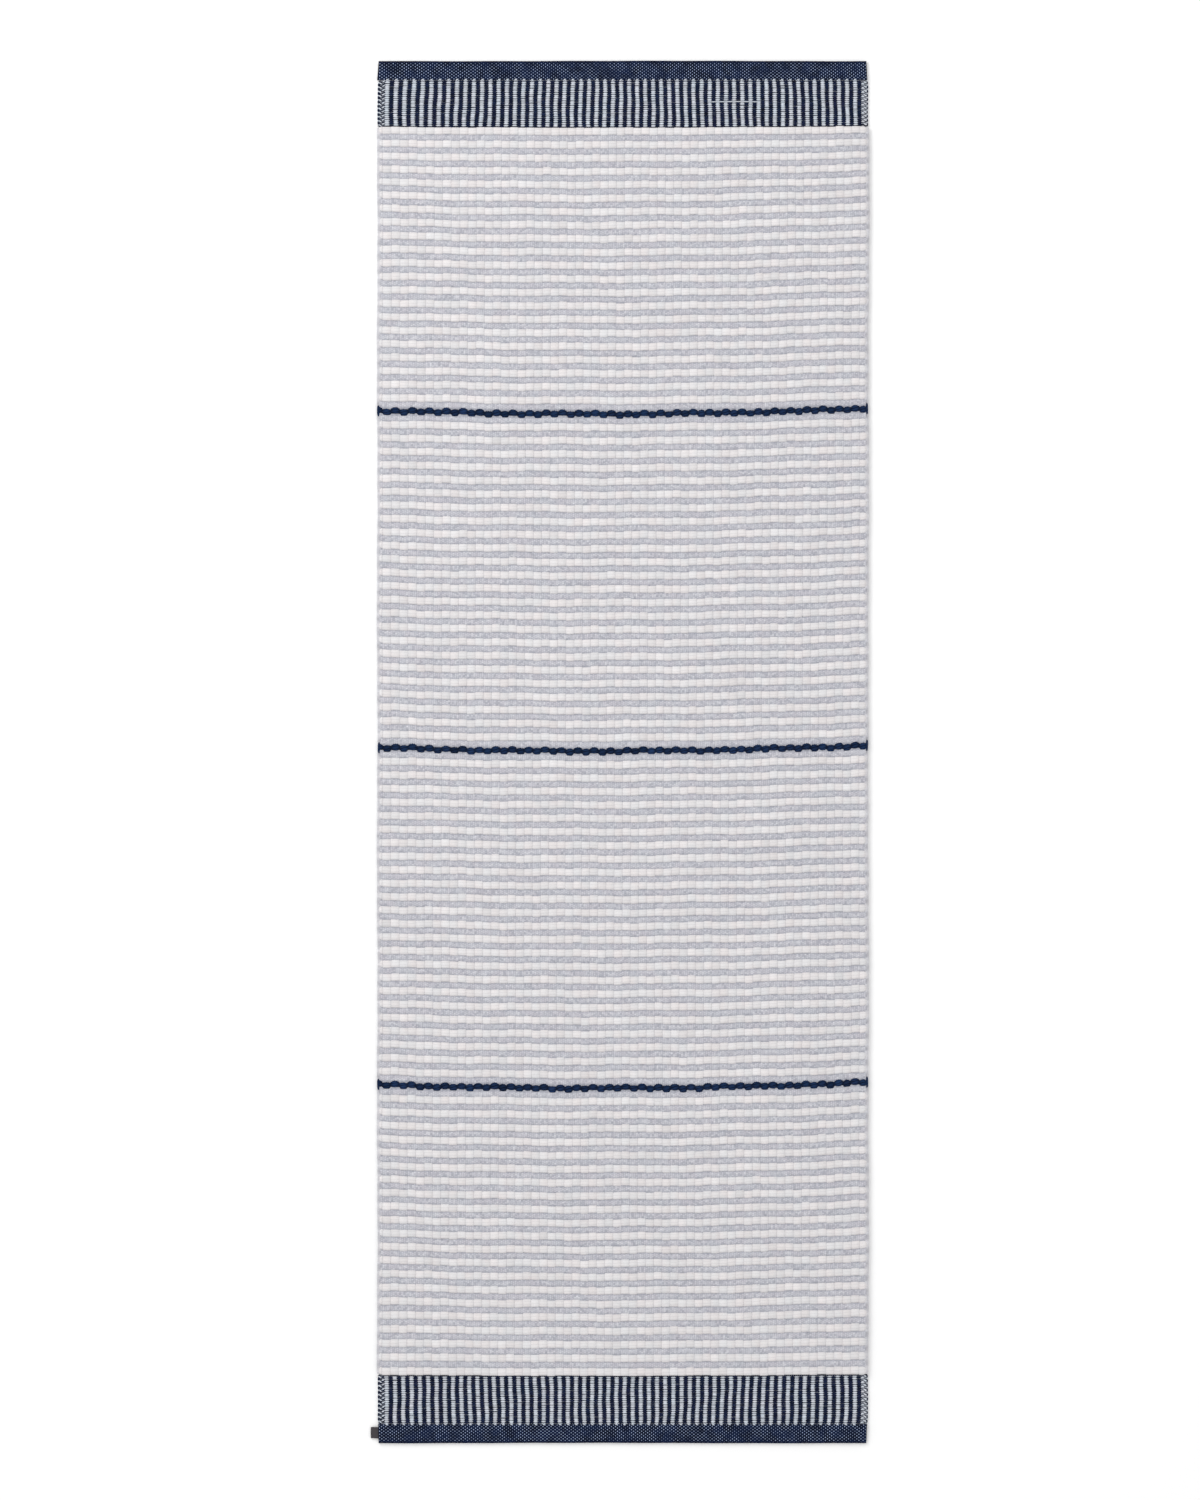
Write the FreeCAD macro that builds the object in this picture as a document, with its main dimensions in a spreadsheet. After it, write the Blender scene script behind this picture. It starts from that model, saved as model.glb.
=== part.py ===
# Runner rug: a flat-woven wool rug with thick and fine weft bands, three accent lines, two striped
# borders, two turned hems and a folded ribbon label. Millimetres. +X runs across the rug, +Y along it
# towards the head end and +Z up. The origin is the centre of the woven width and length, on the floor.
import FreeCAD, Part
import os

import Sketcher

DRIVING_DIMENSIONS = (
    # overall cloth
    ("rug_width", 850, "woven width"),
    ("rug_length", 2400, "length over the two hem folds"),
    ("hem_depth", 34, "depth of each turned hem"),
    ("border_depth", 83, "depth of each striped border, with its two steps"),
    # thick and fine bands of the field
    ("band_pitch_aim", 23.4, "wanted distance from one thick band to the next"),
    ("inner_bands", 24, "thick bands between two accent lines"),
    ("thick_depth", 13.4, "size of a thick band along the rug"),
    ("thick_height", 10, "height of a thick band"),
    ("thick_round", 3.2, "corner radius of a thick band"),
    ("fine_height", 6.4, "height of a fine band"),
    ("fine_round", 1.8, "corner radius of a fine band"),
    ("band_gap", 0.3, "clearance between neighbouring bands"),
    # weft where it turns at a selvedge
    ("turn_wall", 2.6, "weft wall outside the last warp thread"),
    ("float_width", 2.6, "width of the yarn that steps from band to band"),
    ("float_height", 2.6, "height of that yarn"),
    # warp
    ("thread_size", 0.9, "width and height of a warp thread"),
    ("thread_clearance", 0.2, "clearance above and below a warp thread"),
    ("threads_per_pair", 4, "warp threads under one pair of stripes"),
    ("selvedge_threads", 3, "doubled threads at each selvedge"),
    ("selvedge_thread_width", 1.4, "width of a doubled thread"),
    ("selvedge_thread_pitch", 2.3, "distance between doubled threads"),
    ("selvedge_to_stripe", 0.2, "clearance between the innermost doubled thread and the first crossing"),
    ("step_length", 4, "length over which the warp changes height"),
    # striped borders
    ("stripe_pair_aim", 14.2, "wanted width of one dark and one light stripe"),
    ("rib_gap", 1.2, "gap between two stripes"),
    ("rib_thickness", 1.9, "thickness of a stripe on either face"),
    ("link_gap", 2, "clearance between the crossings of the two colours"),
    # hems
    ("leaf_thickness", 2.6, "thickness of one leaf of the hem"),
    ("hem_inset", 1.5, "how far each hem end lies inside the selvedge"),
    ("stitch_size", 0.5, "thickness of the sewing thread"),
    ("stitch_lift", 0.075, "underside of the cloth to the slip stitches"),
    ("side_stitch_inset", 1.5, "side stitch to the end of the hem"),
    # label
    ("label_width", 19.4, "size of the ribbon along the rug"),
    ("label_thickness", 0.6, "the folded ribbon's two layers"),
    ("label_clearance", 0.15, "clearance between the ribbon and each hem leaf"),
    ("label_reach", 13.5, "ribbon that stands out beyond the hem"),
    ("label_tail_length", 12, "ribbon held inside the hem"),
    ("label_off_middle", 1, "middle of the ribbon to the middle of the hem, towards the border"),
    ("label_hinge_out", 0.7, "hem end to the line that the ribbon bends about"),
    ("label_hinge_gap", 0.5, "clearance on each side of that line"),
)

LAYOUT = (
    ("field_length", "dims.rug_length - 2 * (dims.hem_depth + dims.border_depth)"),
    ("half_slots", "round((.field_length - dims.thick_depth) / dims.band_pitch_aim / 2)"),
    ("band_pitch", "(.field_length - dims.thick_depth) / (2 * .half_slots)"),
    ("fine_depth", ".band_pitch - dims.thick_depth - 2 * dims.band_gap"),
    ("outer_bands", ".half_slots - 1 - dims.inner_bands"),
    ("line_offset", "(dims.inner_bands + 1) * .band_pitch"),
    ("passage", "dims.thread_size + 2 * dims.thread_clearance"),
    ("side", "dims.rug_width / 2"),
    ("float_room", "dims.float_width + dims.band_gap"),
    ("slot_side", ".side - .float_room - dims.turn_wall"),
    ("selvedge_edge", ".slot_side - dims.selvedge_thread_width / 2 - dims.thread_clearance"),
    ("selvedge_reach", "(dims.selvedge_threads - 1) * dims.selvedge_thread_pitch"),
    ("thread_to_stripe", "(dims.selvedge_thread_width + dims.rib_gap) / 2 + dims.selvedge_to_stripe"),
    ("striped_width", "2 * (.selvedge_edge - .selvedge_reach - .thread_to_stripe)"),
    ("stripe_pairs", "round(.striped_width / dims.stripe_pair_aim)"),
    ("stripe_pair", ".striped_width / .stripe_pairs"),
    ("thread_pitch", ".stripe_pair / dims.threads_per_pair"),
    ("field_plane", "dims.thick_height / 2"),
    ("border_plane", "dims.rib_thickness + .passage / 2"),
    ("upper_rib", "dims.rib_thickness + .passage"),
    ("hem_gap", "dims.label_thickness + 2 * dims.label_clearance"),
    ("hem_height", "2 * dims.leaf_thickness + .hem_gap"),
    ("hem_middle", ".hem_height / 2"),
    ("hem_thread_radius", "(dims.leaf_thickness + .hem_gap) / 2"),
    ("hem_side", ".side - dims.hem_inset"),
    ("hem_inner", "dims.rug_length / 2 - dims.hem_depth"),
    ("fold_centre", "dims.rug_length / 2 - .hem_middle"),
    ("field_end", ".field_length / 2"),
    ("border_inner", ".field_end + dims.step_length"),
    ("border_outer", ".hem_inner - dims.step_length"),
    ("border_middle", "(.border_inner + .border_outer) / 2"),
    ("border_run", ".border_outer - .border_inner"),
    ("thread_end", ".hem_inner + dims.thread_size"),
    ("label_middle", "(dims.rug_length - dims.hem_depth) / 2 - dims.label_off_middle"),
    ("label_plane", "dims.leaf_thickness + .hem_gap / 2"),
    ("label_hinge", ".hem_side + dims.label_hinge_out"),
)

HALF_LEFT, HALF_RIGHT = "half a turn to the left", "half a turn to the right"
LEAST_CUT = 1  # mm3 that a pocket must take away

doc = FreeCAD.newDocument("runner_rug")
sub_parts = []


def make_sheets():
    """Two sheets: dims holds the driving dimensions, layout what follows from them."""
    dims = doc.addObject("Spreadsheet::Sheet", "dims")
    for row, (alias, value, note) in enumerate(DRIVING_DIMENSIONS, start=1):
        dims.set(f"A{row}", note)
        dims.set(f"B{row}", str(value))
        dims.setAlias(f"B{row}", alias)
    layout = doc.addObject("Spreadsheet::Sheet", "layout")
    for row, (alias, formula) in enumerate(LAYOUT, start=1):
        layout.set(f"A{row}", alias)
        layout.setAlias(f"B{row}", alias)
        layout.set(f"B{row}", "=" + formula.replace(" .", " ").replace("(.", "(").lstrip("."))
    doc.recompute()
    return dims, layout


def number(expression):
    """The value of an expression over the two sheets, as a plain number."""
    value = layout.evalExpression(expression)
    return float(getattr(value, "Value", value))


def new_body(label, x="0", y="0", turned=False):
    """A body placed at x and y; turned faces it towards the foot end."""
    body = doc.addObject("PartDesign::Body", label)
    body.Label = label
    if turned:
        body.Placement = FreeCAD.Placement(FreeCAD.Vector(), FreeCAD.Rotation(180, 0, 0))
    body.setExpression(".Placement.Base.x", x)
    body.setExpression(".Placement.Base.y", y)
    sub_parts.append(body)
    return body


def origin_feature(body, role):
    """One of the body's own origin planes or axes."""
    return next(item for item in body.Origin.OriginFeatures if item.Role == role)


def outline(body, name, plane, loops, offset="0"):
    """A sketch of closed loops on an origin plane of the body.

    A loop is a list of corners (across, up), each an expression. A corner may have a third entry for
    an arc from it to the next corner: the radius of a counter-clockwise arc of less than half a turn,
    or HALF_LEFT or HALF_RIGHT for half a turn to either hand. Any other side is straight.
    """
    sketch = body.newObject("Sketcher::SketchObject", name)
    sketch.AttachmentSupport = [(origin_feature(body, plane), "")]
    sketch.MapMode = "FlatFace"
    sketch.setExpression(".AttachmentOffset.Base.z", offset)
    for loop in loops:
        places = [FreeCAD.Vector(number(corner[0]), number(corner[1]), 0) for corner in loop]
        first = sketch.GeometryCount
        for index, corner in enumerate(loop):
            start, end = places[index], places[(index + 1) % len(loop)]
            sketch.addGeometry(side_of(start, end, corner[2:]), False)
        for index, corner in enumerate(loop):
            this, after = first + index, first + (index + 1) % len(loop)
            ends_at, starts_at = (1, 2) if corner[2:] == (HALF_RIGHT,) else (2, 1)
            after_starts_at = 2 if loop[(index + 1) % len(loop)][2:] == (HALF_RIGHT,) else 1
            sketch.addConstraint(Sketcher.Constraint("Coincident", this, ends_at, after, after_starts_at))
            for kind, expression in zip(("DistanceX", "DistanceY"), corner):
                place = places[index].x if kind == "DistanceX" else places[index].y
                made = sketch.addConstraint(Sketcher.Constraint(kind, -1, 1, this, starts_at, place))
                sketch.setExpression(f"Constraints[{made}]", expression)
            if corner[2:] in ((HALF_LEFT,), (HALF_RIGHT,)):
                centre = Sketcher.Constraint("DistanceX", -1, 1, this, 3, places[index].x)
                sketch.setExpression(f"Constraints[{sketch.addConstraint(centre)}]", corner[0])
            elif corner[2:]:
                radius = Sketcher.Constraint("Radius", this, number(corner[2]))
                sketch.setExpression(f"Constraints[{sketch.addConstraint(radius)}]", corner[2])
    return sketch


def side_of(start, end, arc):
    """A straight side or the arc that the corner asks for."""
    if not arc:
        return Part.LineSegment(start, end)
    chord = end - start
    outwards = FreeCAD.Vector(chord.y, -chord.x, 0).normalize()
    if arc[0] == HALF_RIGHT:
        outwards = -outwards
    radius = chord.Length / 2 if arc[0] in (HALF_LEFT, HALF_RIGHT) else number(arc[0])
    bulge = radius - max(radius**2 - (chord.Length / 2) ** 2, 0) ** 0.5
    return Part.Arc(start, (start + end) / 2 + outwards * bulge, end)


def pad(body, sketch, length, name="pad", symmetric=True, reverse=False, second=None):
    """Pads a sketch: symmetric about its plane, or to one side, or to two sides by two lengths."""
    made = body.newObject("PartDesign::Pad", name)
    made.Profile = sketch
    made.SideType = "Symmetric" if symmetric else "One side"
    made.Reversed = reverse
    made.setExpression("Length", length)
    if second:
        made.SideType = "Two sides"
        made.setExpression("Length2", second)
    body.Tip = made
    return made


def pocket(body, sketch, length, name="slot"):
    """Cuts a sketch through the body, symmetric about its plane, and proves that it cut."""
    doc.recompute()
    before = body.Shape.Volume
    made = body.newObject("PartDesign::Pocket", name)
    made.Profile = sketch
    made.SideType = "Symmetric"
    made.setExpression("Length", length)
    body.Tip = made
    doc.recompute()
    if body.Shape.Volume > before - LEAST_CUT:
        raise RuntimeError(f"{body.Label}: {name} cut nothing")
    return made


def repeat(body, feature, axis, spacing, count, name="row"):
    """Repeats a feature along one of the body's axes."""
    made = body.newObject("PartDesign::LinearPattern", name)
    made.Originals = [feature]
    made.Direction = (origin_feature(body, axis), [""])
    made.Mode = "Spacing"
    made.setExpression("Offset", spacing)
    made.setExpression("Occurrences", count)
    body.Tip = made
    return made


def box_corners(left, right, low, high):
    """The corners of a rectangle, counter-clockwise."""
    return [(left, low), (right, low), (right, high), (left, high)]


def rounded_corners(half, low, high, radius):
    """The corners of a rounded rectangle of the given half width about zero, counter-clockwise."""
    inner = f"({half} - {radius})"
    return [
        (f"-{inner}", low),
        (inner, low, radius),
        (half, f"{low} + {radius}"),
        (half, f"{high} - {radius}", radius),
        (inner, high),
        (f"-{inner}", high, radius),
        (f"-({half})", f"{high} - {radius}"),
        (f"-({half})", f"{low} + {radius}", radius),
    ]


def cut_warp_slot(body, left, right):
    """The passage through every band of the body, where the warp threads lie."""
    low, high = "layout.field_plane - layout.passage / 2", "layout.field_plane + layout.passage / 2"
    slot = outline(body, "slot_outline", "XZ_Plane", [box_corners(left, right, low, high)])
    pocket(body, slot, "2 * dims.rug_length")


def make_weft_field(label, start, count, depth, height, rounding, float_side):
    """One yarn that fills a field: bands around the warp, joined by floats at one selvedge."""
    body = new_body(label, y=start)
    low = f"layout.field_plane - {height} / 2"
    high = f"layout.field_plane + {height} / 2"
    section = outline(body, "section", "YZ_Plane", [rounded_corners(f"{depth} / 2", low, high, rounding)])
    near, far = "layout.side", "layout.side - layout.float_room"
    right, left = (near, far) if float_side > 0 else (far, near)
    band = pad(body, section, right, "band", second=left)
    repeat(body, band, "Y_Axis", "layout.band_pitch", count, "bands")
    edge, inner = "layout.side", "layout.side - dims.float_width"
    across = (inner, edge) if float_side > 0 else (f"-{edge}", f"-({inner})")
    low = "layout.field_plane - dims.float_height / 2"
    high = "layout.field_plane + dims.float_height / 2"
    end = outline(body, "float_outline", "XZ_Plane", [box_corners(*across, low, high)])
    step = pad(body, end, "layout.band_pitch", "float", symmetric=False, reverse=True)
    repeat(body, step, "Y_Axis", "layout.band_pitch", f"{count} - 1", "floats")
    cut_warp_slot(body, f"-({left} - dims.turn_wall)", f"{right} - dims.turn_wall")


def make_accent_line(label, middle):
    """One thick accent weft, turned round the outermost warp thread at both selvedges."""
    body = new_body(label, y=middle)
    corners = rounded_corners("dims.thick_depth / 2", "0", "dims.thick_height", "dims.thick_round")
    section = outline(body, "section", "YZ_Plane", [corners])
    pad(body, section, "dims.rug_width", "line")
    cut_warp_slot(body, "-(layout.side - dims.turn_wall)", "layout.side - dims.turn_wall")


def make_border_weft(label, end, starts_high):
    """One colour of a striped border: over one stripe, under the next, across the whole width."""
    middle = "layout.border_middle"
    body = new_body(label, y=middle if end == "head" else f"-{middle}")
    start = "-layout.striped_width / 2"
    half_pair, half_gap = "layout.stripe_pair / 2", "dims.rib_gap / 2"
    upper = ("layout.upper_rib", "layout.upper_rib + dims.rib_thickness")
    lower = ("0", "dims.rib_thickness")
    first, second = (upper, lower) if starts_high else (lower, upper)

    ribs = []
    for index, level in enumerate((first, second)):
        left = f"{start} + {index} * {half_pair} + {half_gap}"
        right = f"{start} + {index + 1} * {half_pair} - {half_gap}"
        ribs.append(box_corners(left, right, *level))
    rib_outline = outline(body, "rib_outline", "XZ_Plane", ribs)
    rib_pair = pad(body, rib_outline, "layout.border_run", "rib_pair")
    repeat(body, rib_pair, "X_Axis", "layout.stripe_pair", "layout.stripe_pairs", "ribs")

    edge = f"{start} - {half_gap}"
    slabs = [box_corners("-layout.side", edge, *second), box_corners(f"-({edge})", "layout.side", *first)]
    slab_outline = outline(body, "selvedge_outline", "XZ_Plane", slabs)
    pad(body, slab_outline, "layout.border_run", "selvedge_slabs")

    side = -1 if starts_high else 1
    offset = f"{side} * dims.link_gap / 2"
    length = "(layout.border_run - dims.link_gap) / 2"
    crossings = (("rise", start, second, first, "+ 1"), ("fall", f"{start} + {half_pair}", first, second, ""))
    for name, boundary, before, after, more in crossings:
        left, right = f"{boundary} - {half_gap}", f"{boundary} + {half_gap}"
        corners = [(left, before[0]), (right, after[0]), (right, after[1]), (left, before[1])]
        link = outline(body, f"{name}_outline", "XZ_Plane", [corners], offset)
        crossing = pad(body, link, length, name, symmetric=False, reverse=side < 0)
        repeat(body, crossing, "X_Axis", "layout.stripe_pair", f"layout.stripe_pairs {more}", f"{name}s")


def make_hem_cloth(label, end):
    """The plain-woven end of the cloth, folded under on itself, with the warp's slot inside it."""
    body = new_body(label, turned=end == "foot")
    inner, fold = "layout.hem_inner", "layout.fold_centre"
    leaf = "dims.leaf_thickness"
    shell = [
        (inner, "0"),
        (fold, "0", HALF_LEFT),
        (fold, "layout.hem_height"),
        (inner, "layout.hem_height"),
        (inner, f"{leaf} + layout.hem_gap"),
        (fold, f"{leaf} + layout.hem_gap", HALF_RIGHT),
        (fold, leaf),
        (inner, leaf),
    ]
    pad(body, outline(body, "shell_outline", "YZ_Plane", [shell]), "2 * layout.hem_side", "leaves")
    mouth = f"{inner} - dims.step_length / 2"
    slot = folded_strip(mouth, mouth, "layout.passage")
    cut = "2 * (layout.hem_side - dims.turn_wall)"
    pocket(body, outline(body, "slot_outline", "YZ_Plane", [slot]), cut)


def folded_strip(upper_start, lower_end, thickness):
    """A strip that follows the middle of both leaves of the hem and the fold between them."""
    fold, middle = "layout.fold_centre", "layout.hem_middle"
    outer = f"(layout.hem_thread_radius + {thickness} / 2)"
    inner = f"(layout.hem_thread_radius - {thickness} / 2)"
    return [
        (lower_end, f"{middle} - {outer}"),
        (fold, f"{middle} - {outer}", HALF_LEFT),
        (fold, f"{middle} + {outer}"),
        (upper_start, f"{middle} + {outer}"),
        (upper_start, f"{middle} + {inner}"),
        (fold, f"{middle} + {inner}", HALF_RIGHT),
        (fold, f"{middle} - {inner}"),
        (lower_end, f"{middle} - {inner}"),
    ]


def warp_run():
    """A warp thread seen from the side: level in each zone, stepping between them, folded at both ends."""
    half = "dims.thread_size / 2"
    levels = [
        ("layout.hem_inner", "(layout.hem_middle + layout.hem_thread_radius)"),
        ("layout.border_outer", "layout.border_plane"),
        ("layout.border_inner", "layout.border_plane"),
        ("layout.field_end", "layout.field_plane"),
    ]
    fold = folded_strip("0", "layout.thread_end", "dims.thread_size")
    top = fold[:3] + [(along, f"{plane} + {half}") for along, plane in levels]
    bottom = [(along, f"{plane} - {half}") for along, plane in reversed(levels)] + fold[5:]
    return top + mirrored(top) + mirrored(bottom) + bottom


def mirrored(corners):
    """The same corners at the foot end, in the reverse order, with each arc at its new first corner."""
    back = []
    for index in range(len(corners) - 1, -1, -1):
        along, up = corners[index][:2]
        arc = corners[index - 1][2:] if index else ()
        back.append((f"-{along}" if along.startswith(("layout", "dims")) else f"-({along})", up, *arc))
    return back


def make_warp(label, first, width, pitch, count):
    """A row of warp threads, each one closed solid from hem to hem."""
    body = new_body(label, x=first)
    thread = pad(body, outline(body, "thread_outline", "YZ_Plane", [warp_run()]), width, "thread")
    repeat(body, thread, "X_Axis", pitch, count, "threads")


def make_hem_stitches(label, end):
    """Slip stitches that tie the inner edge of the turned leaf to the striped border."""
    body = new_body(label, turned=end == "foot")
    plane = "dims.stitch_lift + dims.stitch_size / 2"
    low, high = f"{plane} - dims.stitch_size / 2", f"{plane} + dims.stitch_size / 2"
    middle = "-layout.striped_width / 2 + layout.stripe_pair / 4"
    across = (f"{middle} - dims.stitch_size / 2", f"{middle} + dims.stitch_size / 2")
    corners = box_corners(*across, low, high)
    section = outline(body, "stitch_outline", "XZ_Plane", [corners], "-layout.border_outer")
    stitch = pad(body, section, "dims.step_length", "stitch", symmetric=False, reverse=True)
    repeat(body, stitch, "X_Axis", "layout.stripe_pair", "layout.stripe_pairs", "stitches")


def make_side_stitches(label, end):
    """Short threads that close the open ends of the fold, two at each selvedge."""
    body = new_body(label, turned=end == "foot")
    half = "dims.stitch_size / 2"
    loops = []
    for side in ("-", ""):
        for along in (
            "layout.label_middle - dims.label_width / 2 - 2 * dims.stitch_size",
            "layout.label_middle + dims.label_width / 2 + 2 * dims.stitch_size",
        ):
            across = f"{side}(layout.hem_side - dims.side_stitch_inset)"
            sides = (f"{across} - {half}", f"{across} + {half}", f"{along} - {half}", f"{along} + {half}")
            loops.append(box_corners(*sides))
    section = outline(body, "stitch_outline", "XY_Plane", loops, "dims.leaf_thickness")
    pad(body, section, "layout.hem_gap", "stitch", symmetric=False)


def make_label_tail():
    """The ribbon's ends, held between the two leaves of the foot hem."""
    body = new_body("label_tail", y="-layout.label_middle")
    low = "layout.label_plane - dims.label_thickness / 2"
    high = "layout.label_plane + dims.label_thickness / 2"
    left = "-(layout.label_hinge - dims.label_hinge_gap)"
    right = "-(layout.hem_side - dims.label_tail_length)"
    section = outline(body, "section", "XZ_Plane", [box_corners(left, right, low, high)])
    pad(body, section, "dims.label_width", "tail")


def make_label_tab():
    """The folded ribbon that stands out beside the foot hem and bends about its edge."""
    body = new_body("label_tab", y="-layout.label_middle")
    half = "dims.label_thickness / 2"
    low, high = f"layout.label_plane - {half}", f"layout.label_plane + {half}"
    hinge_side = "-(layout.label_hinge + dims.label_hinge_gap)"
    fold = f"-(layout.hem_side + dims.label_reach - {half})"
    corners = [(hinge_side, high), (fold, high, HALF_LEFT), (fold, low), (hinge_side, low)]
    section = outline(body, "section", "XZ_Plane", [corners])
    pad(body, section, "dims.label_width", "tab")


def make_fields():
    """The four fields and the three accent lines, from the head end to the foot end."""
    outer, inner = "layout.outer_bands", "dims.inner_bands"
    line = "layout.line_offset"
    first_thick = (
        (f"{line} + layout.band_pitch", outer),
        ("layout.band_pitch", inner),
        (f"layout.band_pitch - {line}", inner),
        ("-layout.half_slots * layout.band_pitch", outer),
    )
    for index, (start, count) in enumerate(first_thick, start=1):
        thick = ("dims.thick_depth", "dims.thick_height", "dims.thick_round")
        make_weft_field(f"field_{index}_thick_weft", start, count, *thick, float_side=-1)
        beyond = index in (2, 3)
        from_here = start if index == 4 else f"{start} - layout.band_pitch"
        fine_start = f"{from_here} + layout.band_pitch / 2"
        fine_count = f"{count} + 1" if beyond else count
        fine = ("layout.fine_depth", "dims.fine_height", "dims.fine_round")
        make_weft_field(f"field_{index}_fine_weft", fine_start, fine_count, *fine, float_side=1)
    for index, middle in enumerate((line, "0", f"-{line}"), start=1):
        make_accent_line(f"accent_line_{index}", middle)


def make_ends():
    """Border, hem and stitches of the head end and the foot end."""
    for end in ("head", "foot"):
        make_border_weft(f"{end}_border_dark_weft", end, starts_high=False)
        make_border_weft(f"{end}_border_light_weft", end, starts_high=True)
        make_hem_cloth(f"{end}_hem_cloth", end)
        make_hem_stitches(f"{end}_hem_stitches", end)
        make_side_stitches(f"{end}_hem_side_stitches", end)
    make_label_tail()
    make_label_tab()


def make_warps():
    """The striped part's warp threads, and the doubled threads of the two selvedges."""
    count = "layout.stripe_pairs * dims.threads_per_pair"
    first = "-layout.striped_width / 2 + layout.thread_pitch / 2"
    make_warp("warp_threads", first, "dims.thread_size", "layout.thread_pitch", count)
    doubled = ("dims.selvedge_thread_width", "dims.selvedge_thread_pitch", "dims.selvedge_threads")
    make_warp("left_selvedge_threads", "-layout.selvedge_edge", *doubled)
    make_warp("right_selvedge_threads", "layout.selvedge_edge - layout.selvedge_reach", *doubled)


def check_and_write():
    """Stops on any failed object or bad shape, then writes one STEP file for each sub-part."""
    doc.recompute()
    for item in doc.Objects:
        if {"Invalid", "Error"} & set(item.State):
            raise RuntimeError(f"{item.Label}: {item.State}")
    os.makedirs("parts", exist_ok=True)
    for body in sub_parts:
        shape = body.Shape
        if shape.isNull() or not shape.isValid() or not shape.Solids:
            raise RuntimeError(f"{body.Label}: its shape isn't sound")
        shape.exportStep(os.path.join("parts", f"{body.Label}.step"))
        print(f"{body.Label}: {len(shape.Solids)} solids, {shape.Volume / 1000:.1f} cm3")


dims, layout = make_sheets()
make_fields()
make_ends()
make_warps()
check_and_write()
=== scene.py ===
"""A flat woven runner rug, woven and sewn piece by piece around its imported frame.

Lengths are in metres in the frame's own axes: X across the rug, Y along it to the head end, Z up.
"""
from __future__ import annotations

import logging
import math
from dataclasses import dataclass, field
from enum import Enum

import bmesh
import bpy
import numpy as np
from mathutils import Matrix, Vector

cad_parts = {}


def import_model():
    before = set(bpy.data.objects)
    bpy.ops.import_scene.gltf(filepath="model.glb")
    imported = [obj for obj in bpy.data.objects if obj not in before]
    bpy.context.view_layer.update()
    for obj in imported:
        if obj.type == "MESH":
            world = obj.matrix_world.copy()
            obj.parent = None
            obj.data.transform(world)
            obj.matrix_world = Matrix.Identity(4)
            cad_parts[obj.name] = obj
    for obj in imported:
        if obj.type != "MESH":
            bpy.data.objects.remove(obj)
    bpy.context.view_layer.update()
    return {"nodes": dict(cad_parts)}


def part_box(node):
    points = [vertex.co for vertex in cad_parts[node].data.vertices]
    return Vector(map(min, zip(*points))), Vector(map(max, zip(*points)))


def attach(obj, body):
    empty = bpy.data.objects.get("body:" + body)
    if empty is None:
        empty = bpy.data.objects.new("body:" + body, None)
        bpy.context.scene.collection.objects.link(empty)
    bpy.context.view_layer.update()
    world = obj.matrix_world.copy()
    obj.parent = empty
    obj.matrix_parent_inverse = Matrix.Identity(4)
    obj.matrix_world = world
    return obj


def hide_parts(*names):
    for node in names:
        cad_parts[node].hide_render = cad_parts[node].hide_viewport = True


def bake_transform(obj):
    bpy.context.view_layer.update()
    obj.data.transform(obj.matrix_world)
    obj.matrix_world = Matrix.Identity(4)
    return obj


LOG = logging.getLogger("runner_rug")
MM = 0.001
TURN = 2 * math.pi
WELD = 1e-7  # ring seams closer than this are one point
MAP_LENGTH = 10 * MM  # length of yarn that is 1 in its UV map
YARN_MAP = "yarn"  # UV map that follows the yarn
TINT = "tint"  # attribute: brightness, warmth and darkening of each place, mostly painted shade in dips and grooves
Colour = tuple[float, float, float, float]  # red, green, blue and alpha, all linear
Socket = bpy.types.NodeSocket
Pair = tuple[np.ndarray, np.ndarray]


class End(Enum):
    """The two ends of the rug and the way each one faces along Y."""

    HEAD = 1
    FOOT = -1

    @property
    def prefix(self) -> str:
        """The start of the frame's node names at this end."""
        return self.name.lower()


class Side(Enum):
    """The two selvedges and the way each one faces along X."""

    LEFT = -1
    RIGHT = 1


class Shade(Enum):
    """The two yarns of a striped border."""

    DARK = "dark"
    LIGHT = "light"


# --------------------------------------------------------------------------------------------------
# How the rug lies, and how its warp is spaced
# --------------------------------------------------------------------------------------------------


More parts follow.
